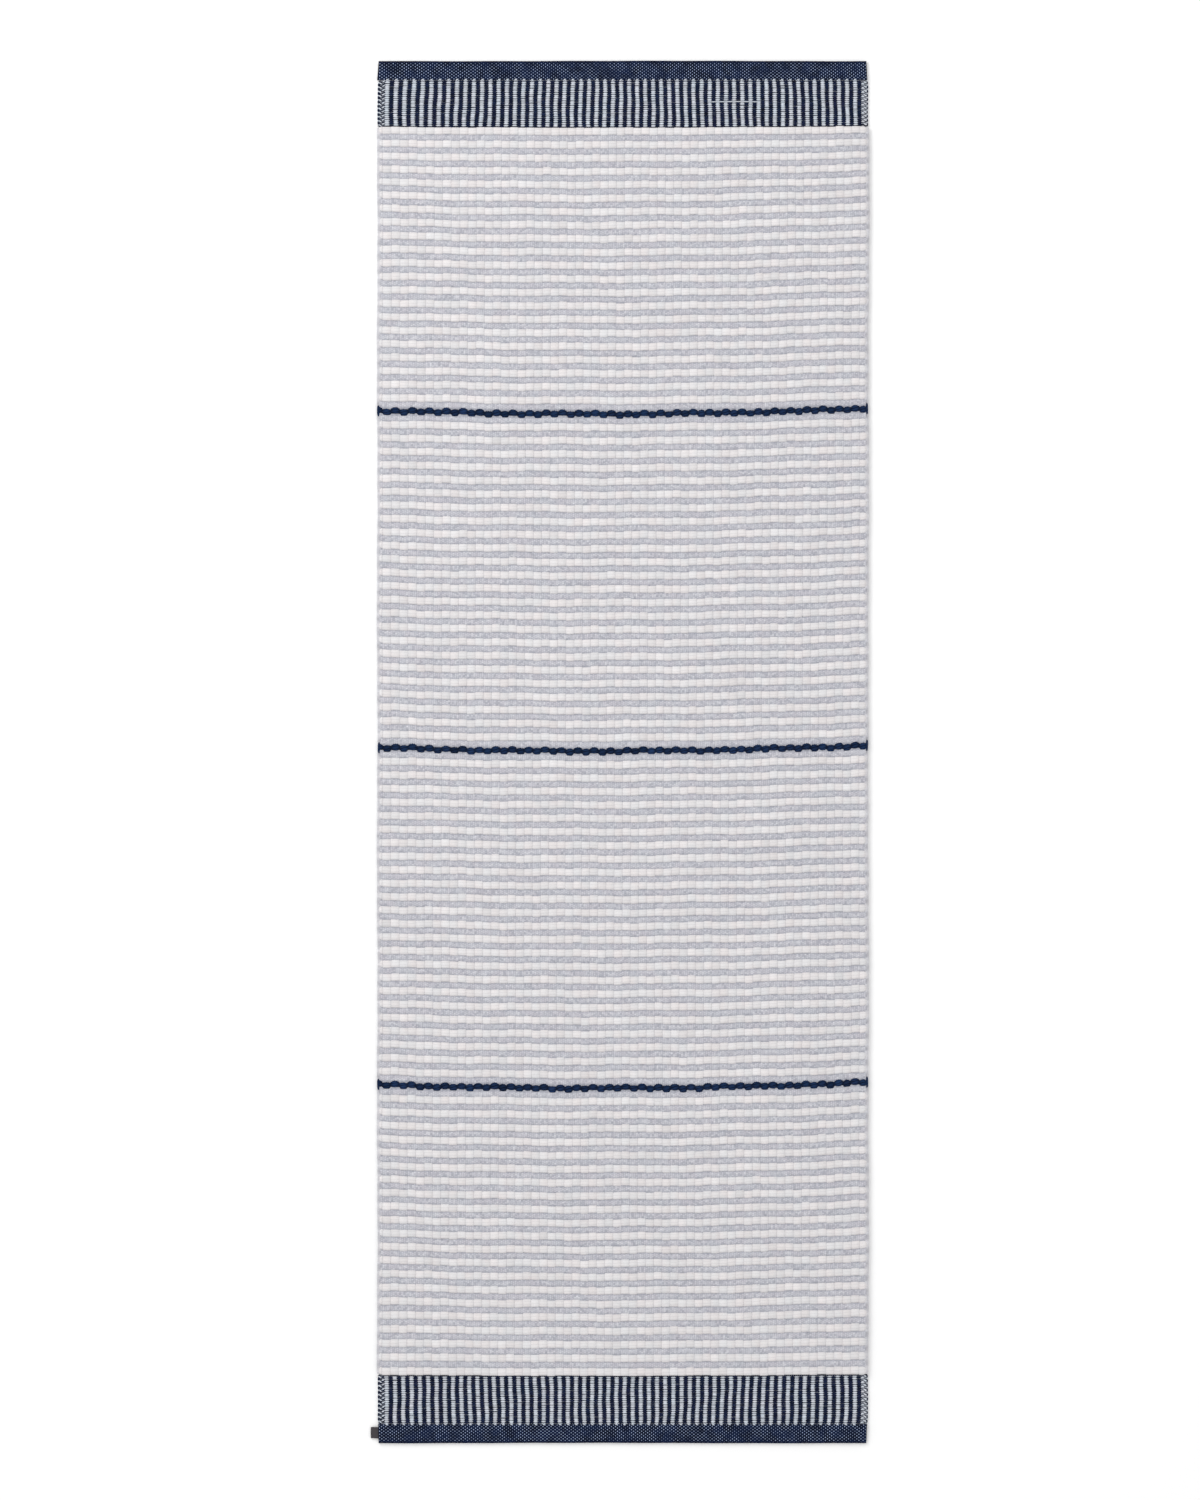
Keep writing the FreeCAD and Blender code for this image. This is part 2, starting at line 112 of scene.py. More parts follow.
@dataclass(frozen=True)
class Lay:
    """The small ways in which the cloth isn't square: its rows bow, tilt and wander.

    Every woven piece passes its points through the same Lay, so that neighbours stay together.
    """

    half_width: float
    half_length: float
    advance: float = 1.7 * MM
    bow: float = 8.0 * MM
    tilt: float = 1.9 * MM
    full_within: float = 0.93
    calm_beyond: float = 1.166
    ripple: float = 0.7 * MM
    ripple_length: float = 0.21
    edge_ripple: float = 0.5 * MM
    edge_shift: float = 0.7 * MM
    edge_spread: float = 1.5 * MM
    edge_bulge: float = 1.5 * MM
    bulge_at: float = 1.0
    waist: float = 1.2 * MM
    bulge_length: float = 0.13
    hem_grip: float = 0.03
    head_drift: float = 8.3 * MM
    head_skew: float = 5.0 * MM
    foot_skew: float = 2.0 * MM
    lean: float = 2.8 * MM
    skew_length: float = 1.1
    border_start: float = 1.084
    border_depth: float = 0.083

    def drift(self, x: np.ndarray, y: np.ndarray) -> np.ndarray:
        """How far the warp has wandered sideways, which is none at the selvedges.

        Args:
            x: places across the rug.
            y: the same places along it.

        Returns:
            The sideways move at each place.
        """
        across = np.clip(x / self.half_width, -1, 1)
        head = self.head_drift * (1 - np.abs(across) ** 3) - self.head_skew * across * (1 - across**2)
        swing = np.sin(TURN * x / self.skew_length) * (1 - across**4)
        share = 0.5 + 0.5 * y / self.half_length
        along = np.clip((np.abs(y) - self.border_start) / self.border_depth, 0, 1) - 0.5
        return share * head - (1 - share) * self.foot_skew * swing - self.lean * along * swing

    def settle(self, points: np.ndarray) -> None:
        """Moves points along and across the rug, in place.

        Args:
            points: an array whose last axis is x, y, z.
        """
        x, y = points[..., 0].copy(), points[..., 1].copy()
        across = x / self.half_width
        free = np.clip((self.calm_beyond - np.abs(y)) / (self.calm_beyond - self.full_within), 0, 1)
        free = free * free * (3 - 2 * free)
        row = self.advance + self.bow * across**2 + self.tilt * across
        wave = np.sin(TURN * x / self.ripple_length + 2.1 * np.sin(TURN * y / 0.9))
        wave += 0.6 * np.sin(TURN * x / (0.37 * self.ripple_length) + 31 * y)
        points[..., 1] += free * (row + self.ripple * wave)
        side = np.sin(TURN * y / 0.43 + 1.3) + 0.7 * np.sin(TURN * y / 0.127 + 0.4)
        right = np.clip(across, 0, 2) ** 3
        spread = self.edge_shift * across**2 + self.edge_spread * across**3 + self.edge_ripple * side * across**2
        spread += self.edge_bulge * np.exp(-(((y - self.bulge_at) / self.bulge_length) ** 2)) * right
        spread -= self.waist * np.exp(-((y / self.bulge_length) ** 2)) * right
        loose = np.clip((self.half_length - self.hem_grip / 2 - np.abs(y)) / self.hem_grip, 0, 1)
        points[..., 0] += loose * spread + self.drift(x, y)


@dataclass(frozen=True)
class Warp:
    """The spacing of the warp, which sets where every weft goes over and under."""

    half_width: float
    margin: float = 12.5 * MM
    pairs: int = 58
    ends_per_pair: int = 4

    @property
    def pair(self) -> float:
        """Width of one light and one dark stripe, which is also one block of a thick row."""
        return 2 * (self.half_width - self.margin) / self.pairs

    @property
    def end_pitch(self) -> float:
        """Distance from one warp end to the next."""
        return self.pair / self.ends_per_pair

    @property
    def striped_start(self) -> float:
        """Left side of the first light stripe."""
        return self.margin - self.half_width

    @property
    def block_start(self) -> float:
        """A gap between two blocks of the thick rows: the middle of the first dark stripe."""
        return self.striped_start + 0.75 * self.pair

    def stations(self, first_edge: float, width: float, fractions: tuple[float, ...], limit: float) -> np.ndarray:
        """Places along a weft: every block's edge and some fractions of the way through the block.

        Args:
            first_edge: one block's edge.
            width: a block's width.
            fractions: where in each block the places lie, from 0 up to less than 1.
            limit: the places stay within this distance of the middle of the rug.

        Returns:
            The x of each place, in order.
        """
        blocks = np.arange(-3, 2 * self.pairs + 4)
        x = (first_edge + width * (blocks[:, None] + np.array(fractions)[None, :])).ravel()
        return x[np.abs(x) < limit]


# --------------------------------------------------------------------------------------------------
# Mesh making
# --------------------------------------------------------------------------------------------------


def cloth_piece(
    name: str,
    places: tuple[np.ndarray, np.ndarray, np.ndarray],
    along: np.ndarray,
    lay: Lay | None,
    around: np.ndarray | None = None,
    tint: np.ndarray | None = None,
) -> bpy.types.Object:
    """Makes one piece out of closed grids, such as yarns, or a sheet whose two faces are one grid.

    The first and last row of a grid are one seam, which is welded, and its open ends are filled.

    Args:
        name: the piece's name.
        places: the x, y and z of the points, each of which fits grids, rows and stations.
        along: the map's place along the yarn, which fits the same shape.
        lay: how the rug lies, or None for a piece that is in place already.
        around: the map's place around the yarn, from 0 to 1 over the rows if it isn't given.
        tint: brightness, warmth, darkening (mostly painted shade) and 1 of each point, if they change over the
            piece.

    Returns:
        The new object, with smooth faces that point outwards.
    """
    points = np.stack(np.broadcast_arrays(*places), axis=-1)
    points = points.reshape(-1, *points.shape[-3:])
    points[:, -1] = points[:, 0]
    shape = points.shape[:3]
    if around is None:
        around = (np.arange(shape[1]) / (shape[1] - 1))[:, None]
    uv = np.stack(np.broadcast_arrays(along, around), axis=-1)
    tint = plain_tint(shape) if tint is None else np.clip(tint, 0, 1)
    shell = bmesh.new()
    for _ in range(shape[0]):
        bmesh.ops.create_grid(shell, x_segments=shape[2] - 1, y_segments=shape[1] - 1, size=1.0)
    mesh = bpy.data.meshes.new(name)
    shell.to_mesh(mesh)
    shell.free()
    if lay is not None:
        lay.settle(points)
    mesh.vertices.foreach_set("co", points.astype(np.float32).ravel())
    corner = np.zeros(len(mesh.loops), np.int32)
    mesh.loops.foreach_get("vertex_index", corner)
    layer = mesh.uv_layers.new(name=YARN_MAP)
    uv = np.broadcast_to(uv, (*shape, 2)).reshape(-1, 2)[corner]
    layer.data.foreach_set("uv", uv.astype(np.float32).ravel())
    colours = mesh.color_attributes.new(TINT, "FLOAT_COLOR", "POINT")
    colours.data.foreach_set("color", np.broadcast_to(tint, (*shape, 4)).astype(np.float32).ravel())
    shell = bmesh.new()
    shell.from_mesh(mesh)
    bmesh.ops.remove_doubles(shell, verts=shell.verts, dist=WELD)
    rims = [edge for edge in shell.edges if edge.is_boundary]
    if rims:
        bmesh.ops.holes_fill(shell, edges=rims, sides=0)
    bmesh.ops.recalc_face_normals(shell, faces=shell.faces)
    shell.to_mesh(mesh)
    shell.free()
    mesh.shade_smooth()
    piece = bpy.data.objects.new(name, mesh)
    bpy.context.scene.collection.objects.link(piece)
    return piece


def plain_tint(shape: tuple[int, ...]) -> np.ndarray:
    """A tint array that changes nothing: brightness and warmth at half, and no painted shade.

    Args:
        shape: the grids, rows and stations that it is for.

    Returns:
        The array, with four values for each point.
    """
    tint = np.zeros((*shape, 4))
    tint[..., :2] = 0.5
    tint[..., 3] = 1
    return tint


def rounded_ring(segments: int, squareness: float, lobes: int = 0, depth: float = 0.0) -> Pair:
    """One turn around a yarn's section, its first point repeated at the end.

    Args:
        segments: how many sides the section has.
        squareness: 1 for an ellipse, and less for a flatter top and bottom.
        lobes: how many strands stand out around it.
        depth: how deep the grooves between the strands are, as a share of the radius.

    Returns:
        The sideways and upward places, each from -1 to 1, as columns.
    """
    angle = TURN * (np.arange(segments + 1)[:, None] + 0.5) / segments
    swell = 1 - depth * (0.5 + 0.5 * np.cos(lobes * angle)) if lobes else 1.0
    sideways = np.sign(np.cos(angle)) * np.abs(np.cos(angle)) ** squareness * swell
    upward = np.sign(np.sin(angle)) * np.abs(np.sin(angle)) ** squareness * swell
    sideways[-1], upward[-1] = sideways[0], upward[0]
    return sideways, upward


def closed_ends(places: int) -> np.ndarray:
    """A yarn's girth, full from its second place to its last but one and nothing at its ends.

    Args:
        places: how many places the yarn has.

    Returns:
        The share of full girth at each place.
    """
    girth = np.ones(places)
    girth[[0, -1]] = 0.0
    return girth


@dataclass
class Woven:
    """What every woven part shares: its warp, how it lies and the source of its small differences."""

    warp: Warp
    lay: Lay
    rng: np.random.Generator


@dataclass(frozen=True)
class Pick:
    """The course of one weft: over some warp ends on the face, then under some on the back."""

    plane: float
    rise: float
    float_width: float
    float_height: float
    cross_width: float
    cross_height: float
    float_shift: float = 0.0
    cross_shift: float = 0.0
    sharpness: float = 2.4
    longer: float = 0.0
    segments: int = 8
    squareness: float = 0.72
    lobes: int = 0
    lobe_depth: float = 0.0
    unevenness: float = 0.05
    wander: float = 0.3 * MM
    brightness: float = 0.10
    warmth: float = 0.5

    def wave(self, x: np.ndarray, edge: float, width: float) -> np.ndarray:
        """Which face the weft is on at each place: 1 on the face, -1 on the back, 0 as it crosses."""
        turns = np.sin(math.pi * (x - edge) / width)
        return np.tanh(self.sharpness * (turns + self.longer)) / math.tanh(self.sharpness)

    def weave(
        self,
        name: str,
        part: Woven,
        rows: np.ndarray,
        sides: np.ndarray,
        x: np.ndarray,
        side_wave: np.ndarray,
        blocks: np.ndarray,
    ) -> bpy.types.Object:
        """Weaves a set of wefts that share their stations, as one piece of closed yarns.

        Args:
            name: the piece's name.
            part: the part that the wefts belong to.
            rows: the y of each weft's band.
            sides: 1 or -1, the side of the band's middle on which each weft crosses.
            x: the stations along the wefts.
            side_wave: each weft's face at each station, as wefts and stations.
            blocks: the block that each station belongs to.

        Returns:
            The woven piece.
        """
        count, places = side_wave.shape
        on_face = np.abs(side_wave)
        pattern = (count, int(blocks.max()) + 1)
        uneven = (1 + self.unevenness * part.rng.standard_normal(pattern))[:, blocks]
        drift = (self.wander * part.rng.standard_normal(pattern))[:, blocks] * on_face
        width = (self.cross_width + (self.float_width - self.cross_width) * on_face) * uneven
        height = self.cross_height + (self.float_height - self.cross_height) * on_face
        shift = sides[:, None] * (self.cross_shift + (self.float_shift - self.cross_shift) * on_face)
        girth = closed_ends(places)
        girth[[1, -2]] = 0.75
        sideways, upward = rounded_ring(self.segments, self.squareness, self.lobes, self.lobe_depth)
        y = (rows[:, None] + shift + drift)[:, None] + sideways * (width * girth / 2)[:, None]
        z = (self.plane + self.rise * side_wave)[:, None] + upward * (height * girth / 2)[:, None]
        tint = plain_tint(y.shape)
        tint[..., 0] = (0.5 + self.brightness * part.rng.standard_normal(pattern))[:, None, blocks]
        tint[..., 1] = (0.5 + 0.5 * self.warmth * part.rng.uniform(-1, 1, pattern))[:, None, blocks]
        # Painted shade: darker where the weft crosses between blocks and dips into the slit.
        tint[..., 2] = (1 - on_face**2)[:, None]
        along = x / MAP_LENGTH + np.arange(count)[:, None, None] * 7.3
        return cloth_piece(name, (x, y, z), along, part.lay, tint=tint)


# --------------------------------------------------------------------------------------------------
# Finishes
# --------------------------------------------------------------------------------------------------


def srgb(red: int, green: int, blue: int) -> Colour:
    """A colour from its 0 to 255 display values, as linear values with full alpha."""
    channels = (value / 255 for value in (red, green, blue))
    return (*(c / 12.92 if c <= 0.04045 else ((c + 0.055) / 1.055) ** 2.4 for c in channels), 1.0)


class Graph:
    """Short ways to add and join the nodes of one material or node group."""

    def __init__(self, tree: bpy.types.NodeTree) -> None:
        """Keeps the tree that the nodes go in."""
        self.tree = tree

    def add(self, kind: str, **inputs: object) -> bpy.types.Node:
        """Adds a node and sets or joins its inputs.

        Args:
            kind: the node's type, without its ShaderNode prefix.
            inputs: values or output sockets; a name such as Noise_Scale means that input, and a name
                that isn't an input is set as a property of the node.

        Returns:
            The new node.
        """
        node = self.tree.nodes.new("ShaderNode" + kind)
        sockets = {}
        for name, value in inputs.items():
            if hasattr(node, name) and name not in ("inputs", "outputs"):
                setattr(node, name, value)
            else:
                sockets[name] = value
        for name, value in sockets.items():
            key = int(name[1:]) if name[0] == "i" and name[1:].isdigit() else name.replace("_", " ")
            self.join(value, node.inputs[key])
        return node

    def join(self, value: object, socket: bpy.types.NodeSocket) -> None:
        """Links an output socket to an input, or sets a plain value on it.

        Args:
            value: an output socket, or a plain value.
            socket: the input that gets it.
        """
        if isinstance(value, bpy.types.NodeSocket):
            self.tree.links.new(value, socket)
        else:
            socket.default_value = value

    def maths(self, operation: str, *values: object) -> Socket:
        """The result of a Math node.

        Args:
            operation: what the node works out.
            values: its inputs, as sockets or numbers.

        Returns:
            The output socket of the result.
        """
        node = self.tree.nodes.new("ShaderNodeMath")
        node.operation = operation
        for index, value in enumerate(values):
            self.join(value, node.inputs[index])
        return node.outputs[0]

    def mix(self, share: object, first: object, second: object, blend: str = "MIX") -> Socket:
        """The result of mixing two colours.

        Args:
            share: how much of the second colour shows.
            first: the first colour.
            second: the second colour.
            blend: how the two are mixed.

        Returns:
            The output socket of the result.
        """
        node = self.tree.nodes.new("ShaderNodeMix")
        node.data_type, node.blend_type = "RGBA", blend
        for index, value in ((0, share), (6, first), (7, second)):
            self.join(value, node.inputs[index])
        return node.outputs[2]

    def ramp(self, value: object, low: float, high: float, to_low: float = 0.0, to_high: float = 1.0) -> Socket:
        """A value moved from one range to another, smoothly and kept within it.

        Args:
            value: the value to move.
            low: where the range it comes from starts.
            high: where that range ends.
            to_low: where the range it goes to starts.
            to_high: where that range ends.

        Returns:
            The output socket of the result.
        """
        node = self.add("MapRange", interpolation_type="SMOOTHSTEP")
        for index, item in enumerate((value, low, high, to_low, to_high)):
            self.join(item, node.inputs[index])
        return node.outputs[0]

    def hills(self, value: object, count: float = 1.0) -> Socket:
        """A row of round hills, so many to each unit of the value."""
        return self.maths("ABSOLUTE", self.maths("SINE", self.maths("MULTIPLY", value, math.pi * count)))

    def cell(self, value: object) -> Socket:
        """The whole number below a value."""
        return self.maths("FLOOR", value)

    def noise(self, place: object, **inputs: object) -> Socket:
        """The value of a soft, cloudy pattern at a place."""
        return self.add("TexNoise", Vector=place, **inputs).outputs[0]

    def lit(self, body: object, *shares: object) -> Socket:
        """A colour made lighter or darker by the product of some shares.

        Args:
            body: the colour.
            shares: the shares of its brightness, 1 for no change.

        Returns:
            The output socket of the result.
        """
        light = shares[0]
        for share in shares[1:]:
            light = self.maths("MULTIPLY", light, share)
        grey = self.add("CombineXYZ", X=light, Y=light, Z=light)
        return self.mix(1.0, body, grey.outputs[0], "MULTIPLY")

    def place(self) -> Socket:
        """The piece's Object coordinates."""
        return self.add("TexCoord").outputs["Object"]

    def yarn(self) -> Socket:
        """The piece's own UV map, which follows its yarn."""
        return self.add("UVMap", uv_map=YARN_MAP).outputs[0]

    def tint(self) -> bpy.types.NodeOutputs:
        """Brightness, warmth and darkening of each place, as three outputs; the darkening is mostly painted shade.
        """
        attribute = self.add("Attribute", attribute_name=TINT)
        return self.add("SeparateColor", Color=attribute.outputs["Color"]).outputs

    def effect(self, tree: bpy.types.NodeTree, **inputs: object) -> bpy.types.NodeOutputs:
        """Places a node group and sets its inputs.

        Args:
            tree: the node group.
            inputs: a value or socket for each input that is set.

        Returns:
            The group's outputs.
        """
        node = self.tree.nodes.new("ShaderNodeGroup")
        node.node_tree = tree
        for name, value in inputs.items():
            self.join(value, node.inputs[name.replace("_", " ")])
        return node.outputs


class Effect(Graph):
    """A shader node group with named inputs and outputs, and the graph that fills it."""

    def __init__(self, name: str, inputs: dict[str, tuple[str, object]], outputs: tuple[str, ...]) -> None:
        """Starts the group.

        Args:
            name: the group's name.
            inputs: each input's kind, Float or Vector, and its default, or None.
            outputs: the names of its values.
        """
        super().__init__(bpy.data.node_groups.new(name, "ShaderNodeTree"))
        sides = self.tree.interface
        for label, (kind, default) in inputs.items():
            socket = sides.new_socket(label, in_out="INPUT", socket_type=f"NodeSocket{kind}")
            if default is not None:
                socket.default_value = default
        for label in outputs:
            sides.new_socket(label, in_out="OUTPUT", socket_type="NodeSocketFloat")
        self.given = self.tree.nodes.new("NodeGroupInput").outputs

    def put_out(self, **values: Socket) -> bpy.types.NodeTree:
        """Joins the group's outputs and returns the finished group.

        Args:
            values: the socket that each output gets.

        Returns:
            The node group.
        """
        result = self.tree.nodes.new("NodeGroupOutput")
        for label, value in values.items():
            self.join(value, result.inputs[label])
        return self.tree


def make_strands_group() -> bpy.types.NodeTree:
    """Spun strands that run along a yarn, from its UV map: their height and the grooves between them.

    Returns:
        The node group.
    """
    inputs = {"Yarn": ("Vector", None), "Strands": ("Float", 10.0), "Twist": ("Float", 0.3), "Loose": ("Float", 0.5)}
    graph = Effect("Spun strands", inputs, ("Height", "Groove"))
    parts = graph.add("SeparateXYZ", Vector=graph.given["Yarn"]).outputs
    stretched = graph.add("VectorMath", operation="MULTIPLY", i0=graph.given["Yarn"], i1=(0.55, 5.0, 1.0))
    wobble = graph.noise(stretched.outputs[0], Scale=1.7, Detail=2.0)
    turned = graph.maths("MULTIPLY", parts["X"], graph.given["Twist"])
    across = graph.maths("MULTIPLY_ADD", parts["Y"], graph.given["Strands"], turned)
    loose = graph.maths("MULTIPLY", graph.maths("SUBTRACT", wobble, 0.5), graph.given["Loose"])
    hill = graph.hills(graph.maths("MULTIPLY_ADD", loose, 3.0, across))
    return graph.put_out(Height=graph.maths("POWER", hill, 0.6), Groove=graph.ramp(hill, 0.55, 0.05))


def make_fibre_group() -> bpy.types.NodeTree:
    """Loose fibre and uneven dye over a whole piece, from its Object coordinates.

    Returns:
        The node group.
    """
    inputs = {"Place": ("Vector", None), "Fibre Scale": ("Float", 900.0), "Dye Scale": ("Float", 34.0)}
    graph = Effect("Wool fibre", inputs, ("Fibre", "Dye", "Cast"))
    place, spread = graph.given["Place"], graph.given["Dye Scale"]
    fibre = graph.noise(place, Scale=graph.given["Fibre Scale"], Detail=3.0, Roughness=0.65)
    dye = graph.noise(place, Scale=spread, Detail=4.0, Roughness=0.6)
    moved = graph.add("VectorMath", operation="ADD", i0=place, i1=(3.1, 1.7, 0.4))
    cast = graph.noise(moved.outputs[0], Scale=spread, Detail=2.0)
    return graph.put_out(Fibre=fibre, Dye=graph.ramp(dye, 0.3, 0.7), Cast=graph.ramp(cast, 0.32, 0.68))


def make_crossings_group() -> bpy.types.NodeTree:
    """A fine weave, from a UV map that counts warp ends and picks.

    It gives the ribs over the warp ends with the weft dashes on them, the warp points that show between
    picks, and a random value for each crossing.

    Returns:
        The node group.
    """
    inputs = {"Weave": ("Vector", None), "Point": ("Float", 0.3)}
    graph = Effect("Fine crossings", inputs, ("Ridge", "Point", "Chance"))
    parts = graph.add("SeparateXYZ", Vector=graph.given["Weave"]).outputs
    end, pick = parts["X"], parts["Y"]
    odd_end = graph.maths("FLOORED_MODULO", graph.cell(end), 2.0)
    raised = graph.maths("MULTIPLY_ADD", odd_end, 0.5, pick)
    ridge = graph.maths("MULTIPLY", graph.hills(end), graph.hills(raised))
    crossing = graph.add("CombineXYZ", X=graph.cell(end), Y=graph.cell(raised), Z=0.0)
    chance = graph.add("TexWhiteNoise", noise_dimensions="3D", Vector=crossing.outputs[0])
    odd_pick = graph.maths("FLOORED_MODULO", graph.maths("ADD", graph.cell(pick), odd_end), 2.0)
    across, along = (graph.maths("SUBTRACT", graph.maths("FRACT", part), 0.5) for part in (end, pick))
    long_side = graph.maths("MULTIPLY", graph.maths("POWER", along, 2.0), 0.55)
    away = graph.maths("SQRT", graph.maths("ADD", graph.maths("POWER", across, 2.0), long_side))
    spot = graph.ramp(graph.maths("DIVIDE", away, graph.given["Point"]), 1.15, 0.55)
    point = graph.maths("MULTIPLY", spot, odd_pick)
    return graph.put_out(Ridge=ridge, Point=point, Chance=chance.outputs["Value"])


@dataclass
class Groups:
    """The effects that several finishes share, each built once."""

    strands: bpy.types.NodeTree = field(default_factory=make_strands_group)
    fibre: bpy.types.NodeTree = field(default_factory=make_fibre_group)
    crossings: bpy.types.NodeTree = field(default_factory=make_crossings_group)


@dataclass(frozen=True, kw_only=True)
class FinishBase:
    """What every woven finish shares: two colours, a relief and one soft, dull shader."""

    name: str
    colour: Colour
    # dark: the colour that painted shade in grooves, hollows and dips goes towards; some finishes also use it for
    # uneven dye and fibre.
    dark: Colour
    relief: float = 0.5 * MM
    strength: float = 0.8
    roughness: float = 0.88
    sheen: float = 0.15
    sheen_roughness: float = 0.6
    shine: float = 0.2

    def pattern(self, graph: Graph, groups: Groups) -> tuple[Socket, Socket]:
        """Lays out the finish's own pattern.

        Args:
            graph: the material's nodes.
            groups: the shared effects.

        Returns:
            The colour and the height of each place.
        """
        raise NotImplementedError

    def make(self, groups: Groups) -> bpy.types.Material:
        """Builds the material.

        Args:
            groups: the shared effects.

        Returns:
            The finished material.
        """
        material = bpy.data.materials.new(self.name)
        material.use_nodes = True
        material.node_tree.nodes.clear()
        graph = Graph(material.node_tree)
        colour, height = self.pattern(graph, groups)
        bump = graph.add("Bump", Height=height, Distance=self.relief, Strength=self.strength)
        shader = graph.add("BsdfPrincipled", Base_Color=colour, Roughness=self.roughness, Normal=bump.outputs[0])
        shader.inputs["Specular IOR Level"].default_value = self.shine
        shader.inputs["Sheen Weight"].default_value = self.sheen
        shader.inputs["Sheen Roughness"].default_value = self.sheen_roughness
        graph.add("OutputMaterial", Surface=shader.outputs[0])
        return material


@dataclass(frozen=True, kw_only=True)
class YarnFinish(FinishBase):
    """Thick spun wool, coloured by block, with strands along it."""

    warm: Colour
    cool: Colour
    strands: float = 12.0
    twist: float = 0.25
    loose: float = 0.2
    groove_shade_share: float = 0.5
    shade_share: float = 0.5
    brightness: float = 0.5

    def pattern(self, graph: Graph, groups: Groups) -> tuple[Socket, Socket]:
        """Dyes the yarn, darkens the grooves between its strands and the places where it dips under with painted
        shade, and raises the strands.

        Args:
            graph: the material's nodes.
            groups: the shared effects.

        Returns:
            The colour and the height of each place.
        """
        tint = graph.tint()
        sizes = {"Strands": self.strands, "Twist": self.twist, "Loose": self.loose}
        strands = graph.effect(groups.strands, Yarn=graph.yarn(), **sizes)
        fibre = graph.effect(groups.fibre, Place=graph.place())
        warmth = graph.maths("MULTIPLY_ADD", fibre["Cast"], 0.5, graph.maths("MULTIPLY", tint[1], 0.5))
        body = graph.mix(0.5, self.colour, graph.mix(warmth, self.cool, self.warm))
        # Painted shade: the grooves between strands and the tint's darkening (painted shade in the dips, and at the
        # selvedge also the grey rows' own colour) go towards the dark colour.
        body = graph.mix(graph.maths("MULTIPLY", strands["Groove"], self.groove_shade_share), body, self.dark)
        body = graph.mix(graph.maths("MULTIPLY", tint[2], self.shade_share), body, self.dark)
        light = graph.maths("MULTIPLY_ADD", graph.maths("SUBTRACT", tint[0], 0.5), self.brightness, 1.0)
        fuzz = graph.ramp(fibre["Fibre"], 0.25, 0.75, 0.92, 1.05)
        body = graph.lit(body, light, fuzz, graph.maths("MULTIPLY_ADD", fibre["Dye"], 0.05, 0.97))
        return body, graph.maths("MULTIPLY_ADD", fibre["Fibre"], 0.45, strands["Height"])


@dataclass(frozen=True, kw_only=True)
class FineFinish(FinishBase):
    """Fine weft packed over single warp ends: ribs, dashes and uneven grey."""

    light: Colour
    warm: Colour

    def pattern(self, graph: Graph, groups: Groups) -> tuple[Socket, Socket]:
        """Dyes the crossings unevenly, darkens the hollows between ribs and dashes and the dips beside the thick
        rows with painted shade, and raises the ribs.

        Args:
            graph: the material's nodes.
            groups: the shared effects.

        Returns:
            The colour and the height of each place.
        """
        tint = graph.tint()
        weave = graph.effect(groups.crossings, Weave=graph.yarn())
        fibre = graph.effect(groups.fibre, Place=graph.place())
        body = graph.mix(graph.maths("MULTIPLY", fibre["Cast"], 0.6), self.colour, self.warm)
        # Painted shade in the hollows between the ribs and the dashes.
        body = graph.mix(graph.ramp(weave["Ridge"], 0.45, 0.05, 0.0, 0.5), body, self.dark)
        body = graph.mix(graph.ramp(weave["Chance"], 0.72, 0.95, 0.0, 0.45), body, self.dark)
        body = graph.mix(graph.ramp(weave["Chance"], 0.25, 0.05, 0.0, 0.55), body, self.light)
        # Painted shade where the cloth dips down beside the thick rows.
        body = graph.mix(graph.maths("MULTIPLY", tint[2], 0.6), body, self.dark)
        light = graph.maths("MULTIPLY_ADD", graph.maths("SUBTRACT", tint[0], 0.5), 0.5, 1.0)
        body = graph.lit(body, light, graph.ramp(fibre["Fibre"], 0.25, 0.75, 0.93, 1.05))
        return body, graph.maths("MULTIPLY_ADD", fibre["Fibre"], 0.3, weave["Ridge"])


@dataclass(frozen=True, kw_only=True)
class HemFinish(FinishBase):
    """Plain weave with the pale warp showing as points between dark picks."""

    point: Colour
    point_size: float = 0.27

    def pattern(self, graph: Graph, groups: Groups) -> tuple[Socket, Socket]:
        """Dyes the picks, sets the pale points between them and raises both, and darkens the hollows between the
        ribs with painted shade.

        Args:
            graph: the material's nodes.
            groups: the shared effects.

        Returns:
            The colour and the height of each place.
        """
        tint = graph.tint()
        weave = graph.effect(groups.crossings, Weave=graph.yarn(), Point=self.point_size)
        fibre = graph.effect(groups.fibre, Place=graph.place(), Dye_Scale=60.0)
        body = graph.mix(fibre["Dye"], self.dark, self.colour)
        # Painted shade in the hollows between the ribs.
        body = graph.mix(graph.ramp(weave["Ridge"], 0.5, 0.05, 0.0, 0.6), body, self.dark)
        patchy = graph.maths("MULTIPLY", graph.ramp(fibre["Cast"], 0.0, 1.0, 0.35, 1.0), 2.0)
        showing = graph.maths("MULTIPLY", graph.maths("MULTIPLY", weave["Point"], tint[0]), patchy)
        showing = graph.maths("MULTIPLY", showing, graph.ramp(weave["Chance"], 0.0, 0.5, 0.6, 1.0))
        body = graph.mix(graph.maths("MINIMUM", showing, 1.0), body, self.point)
        return body, graph.maths("MULTIPLY_ADD", weave["Point"], 0.6, weave["Ridge"])


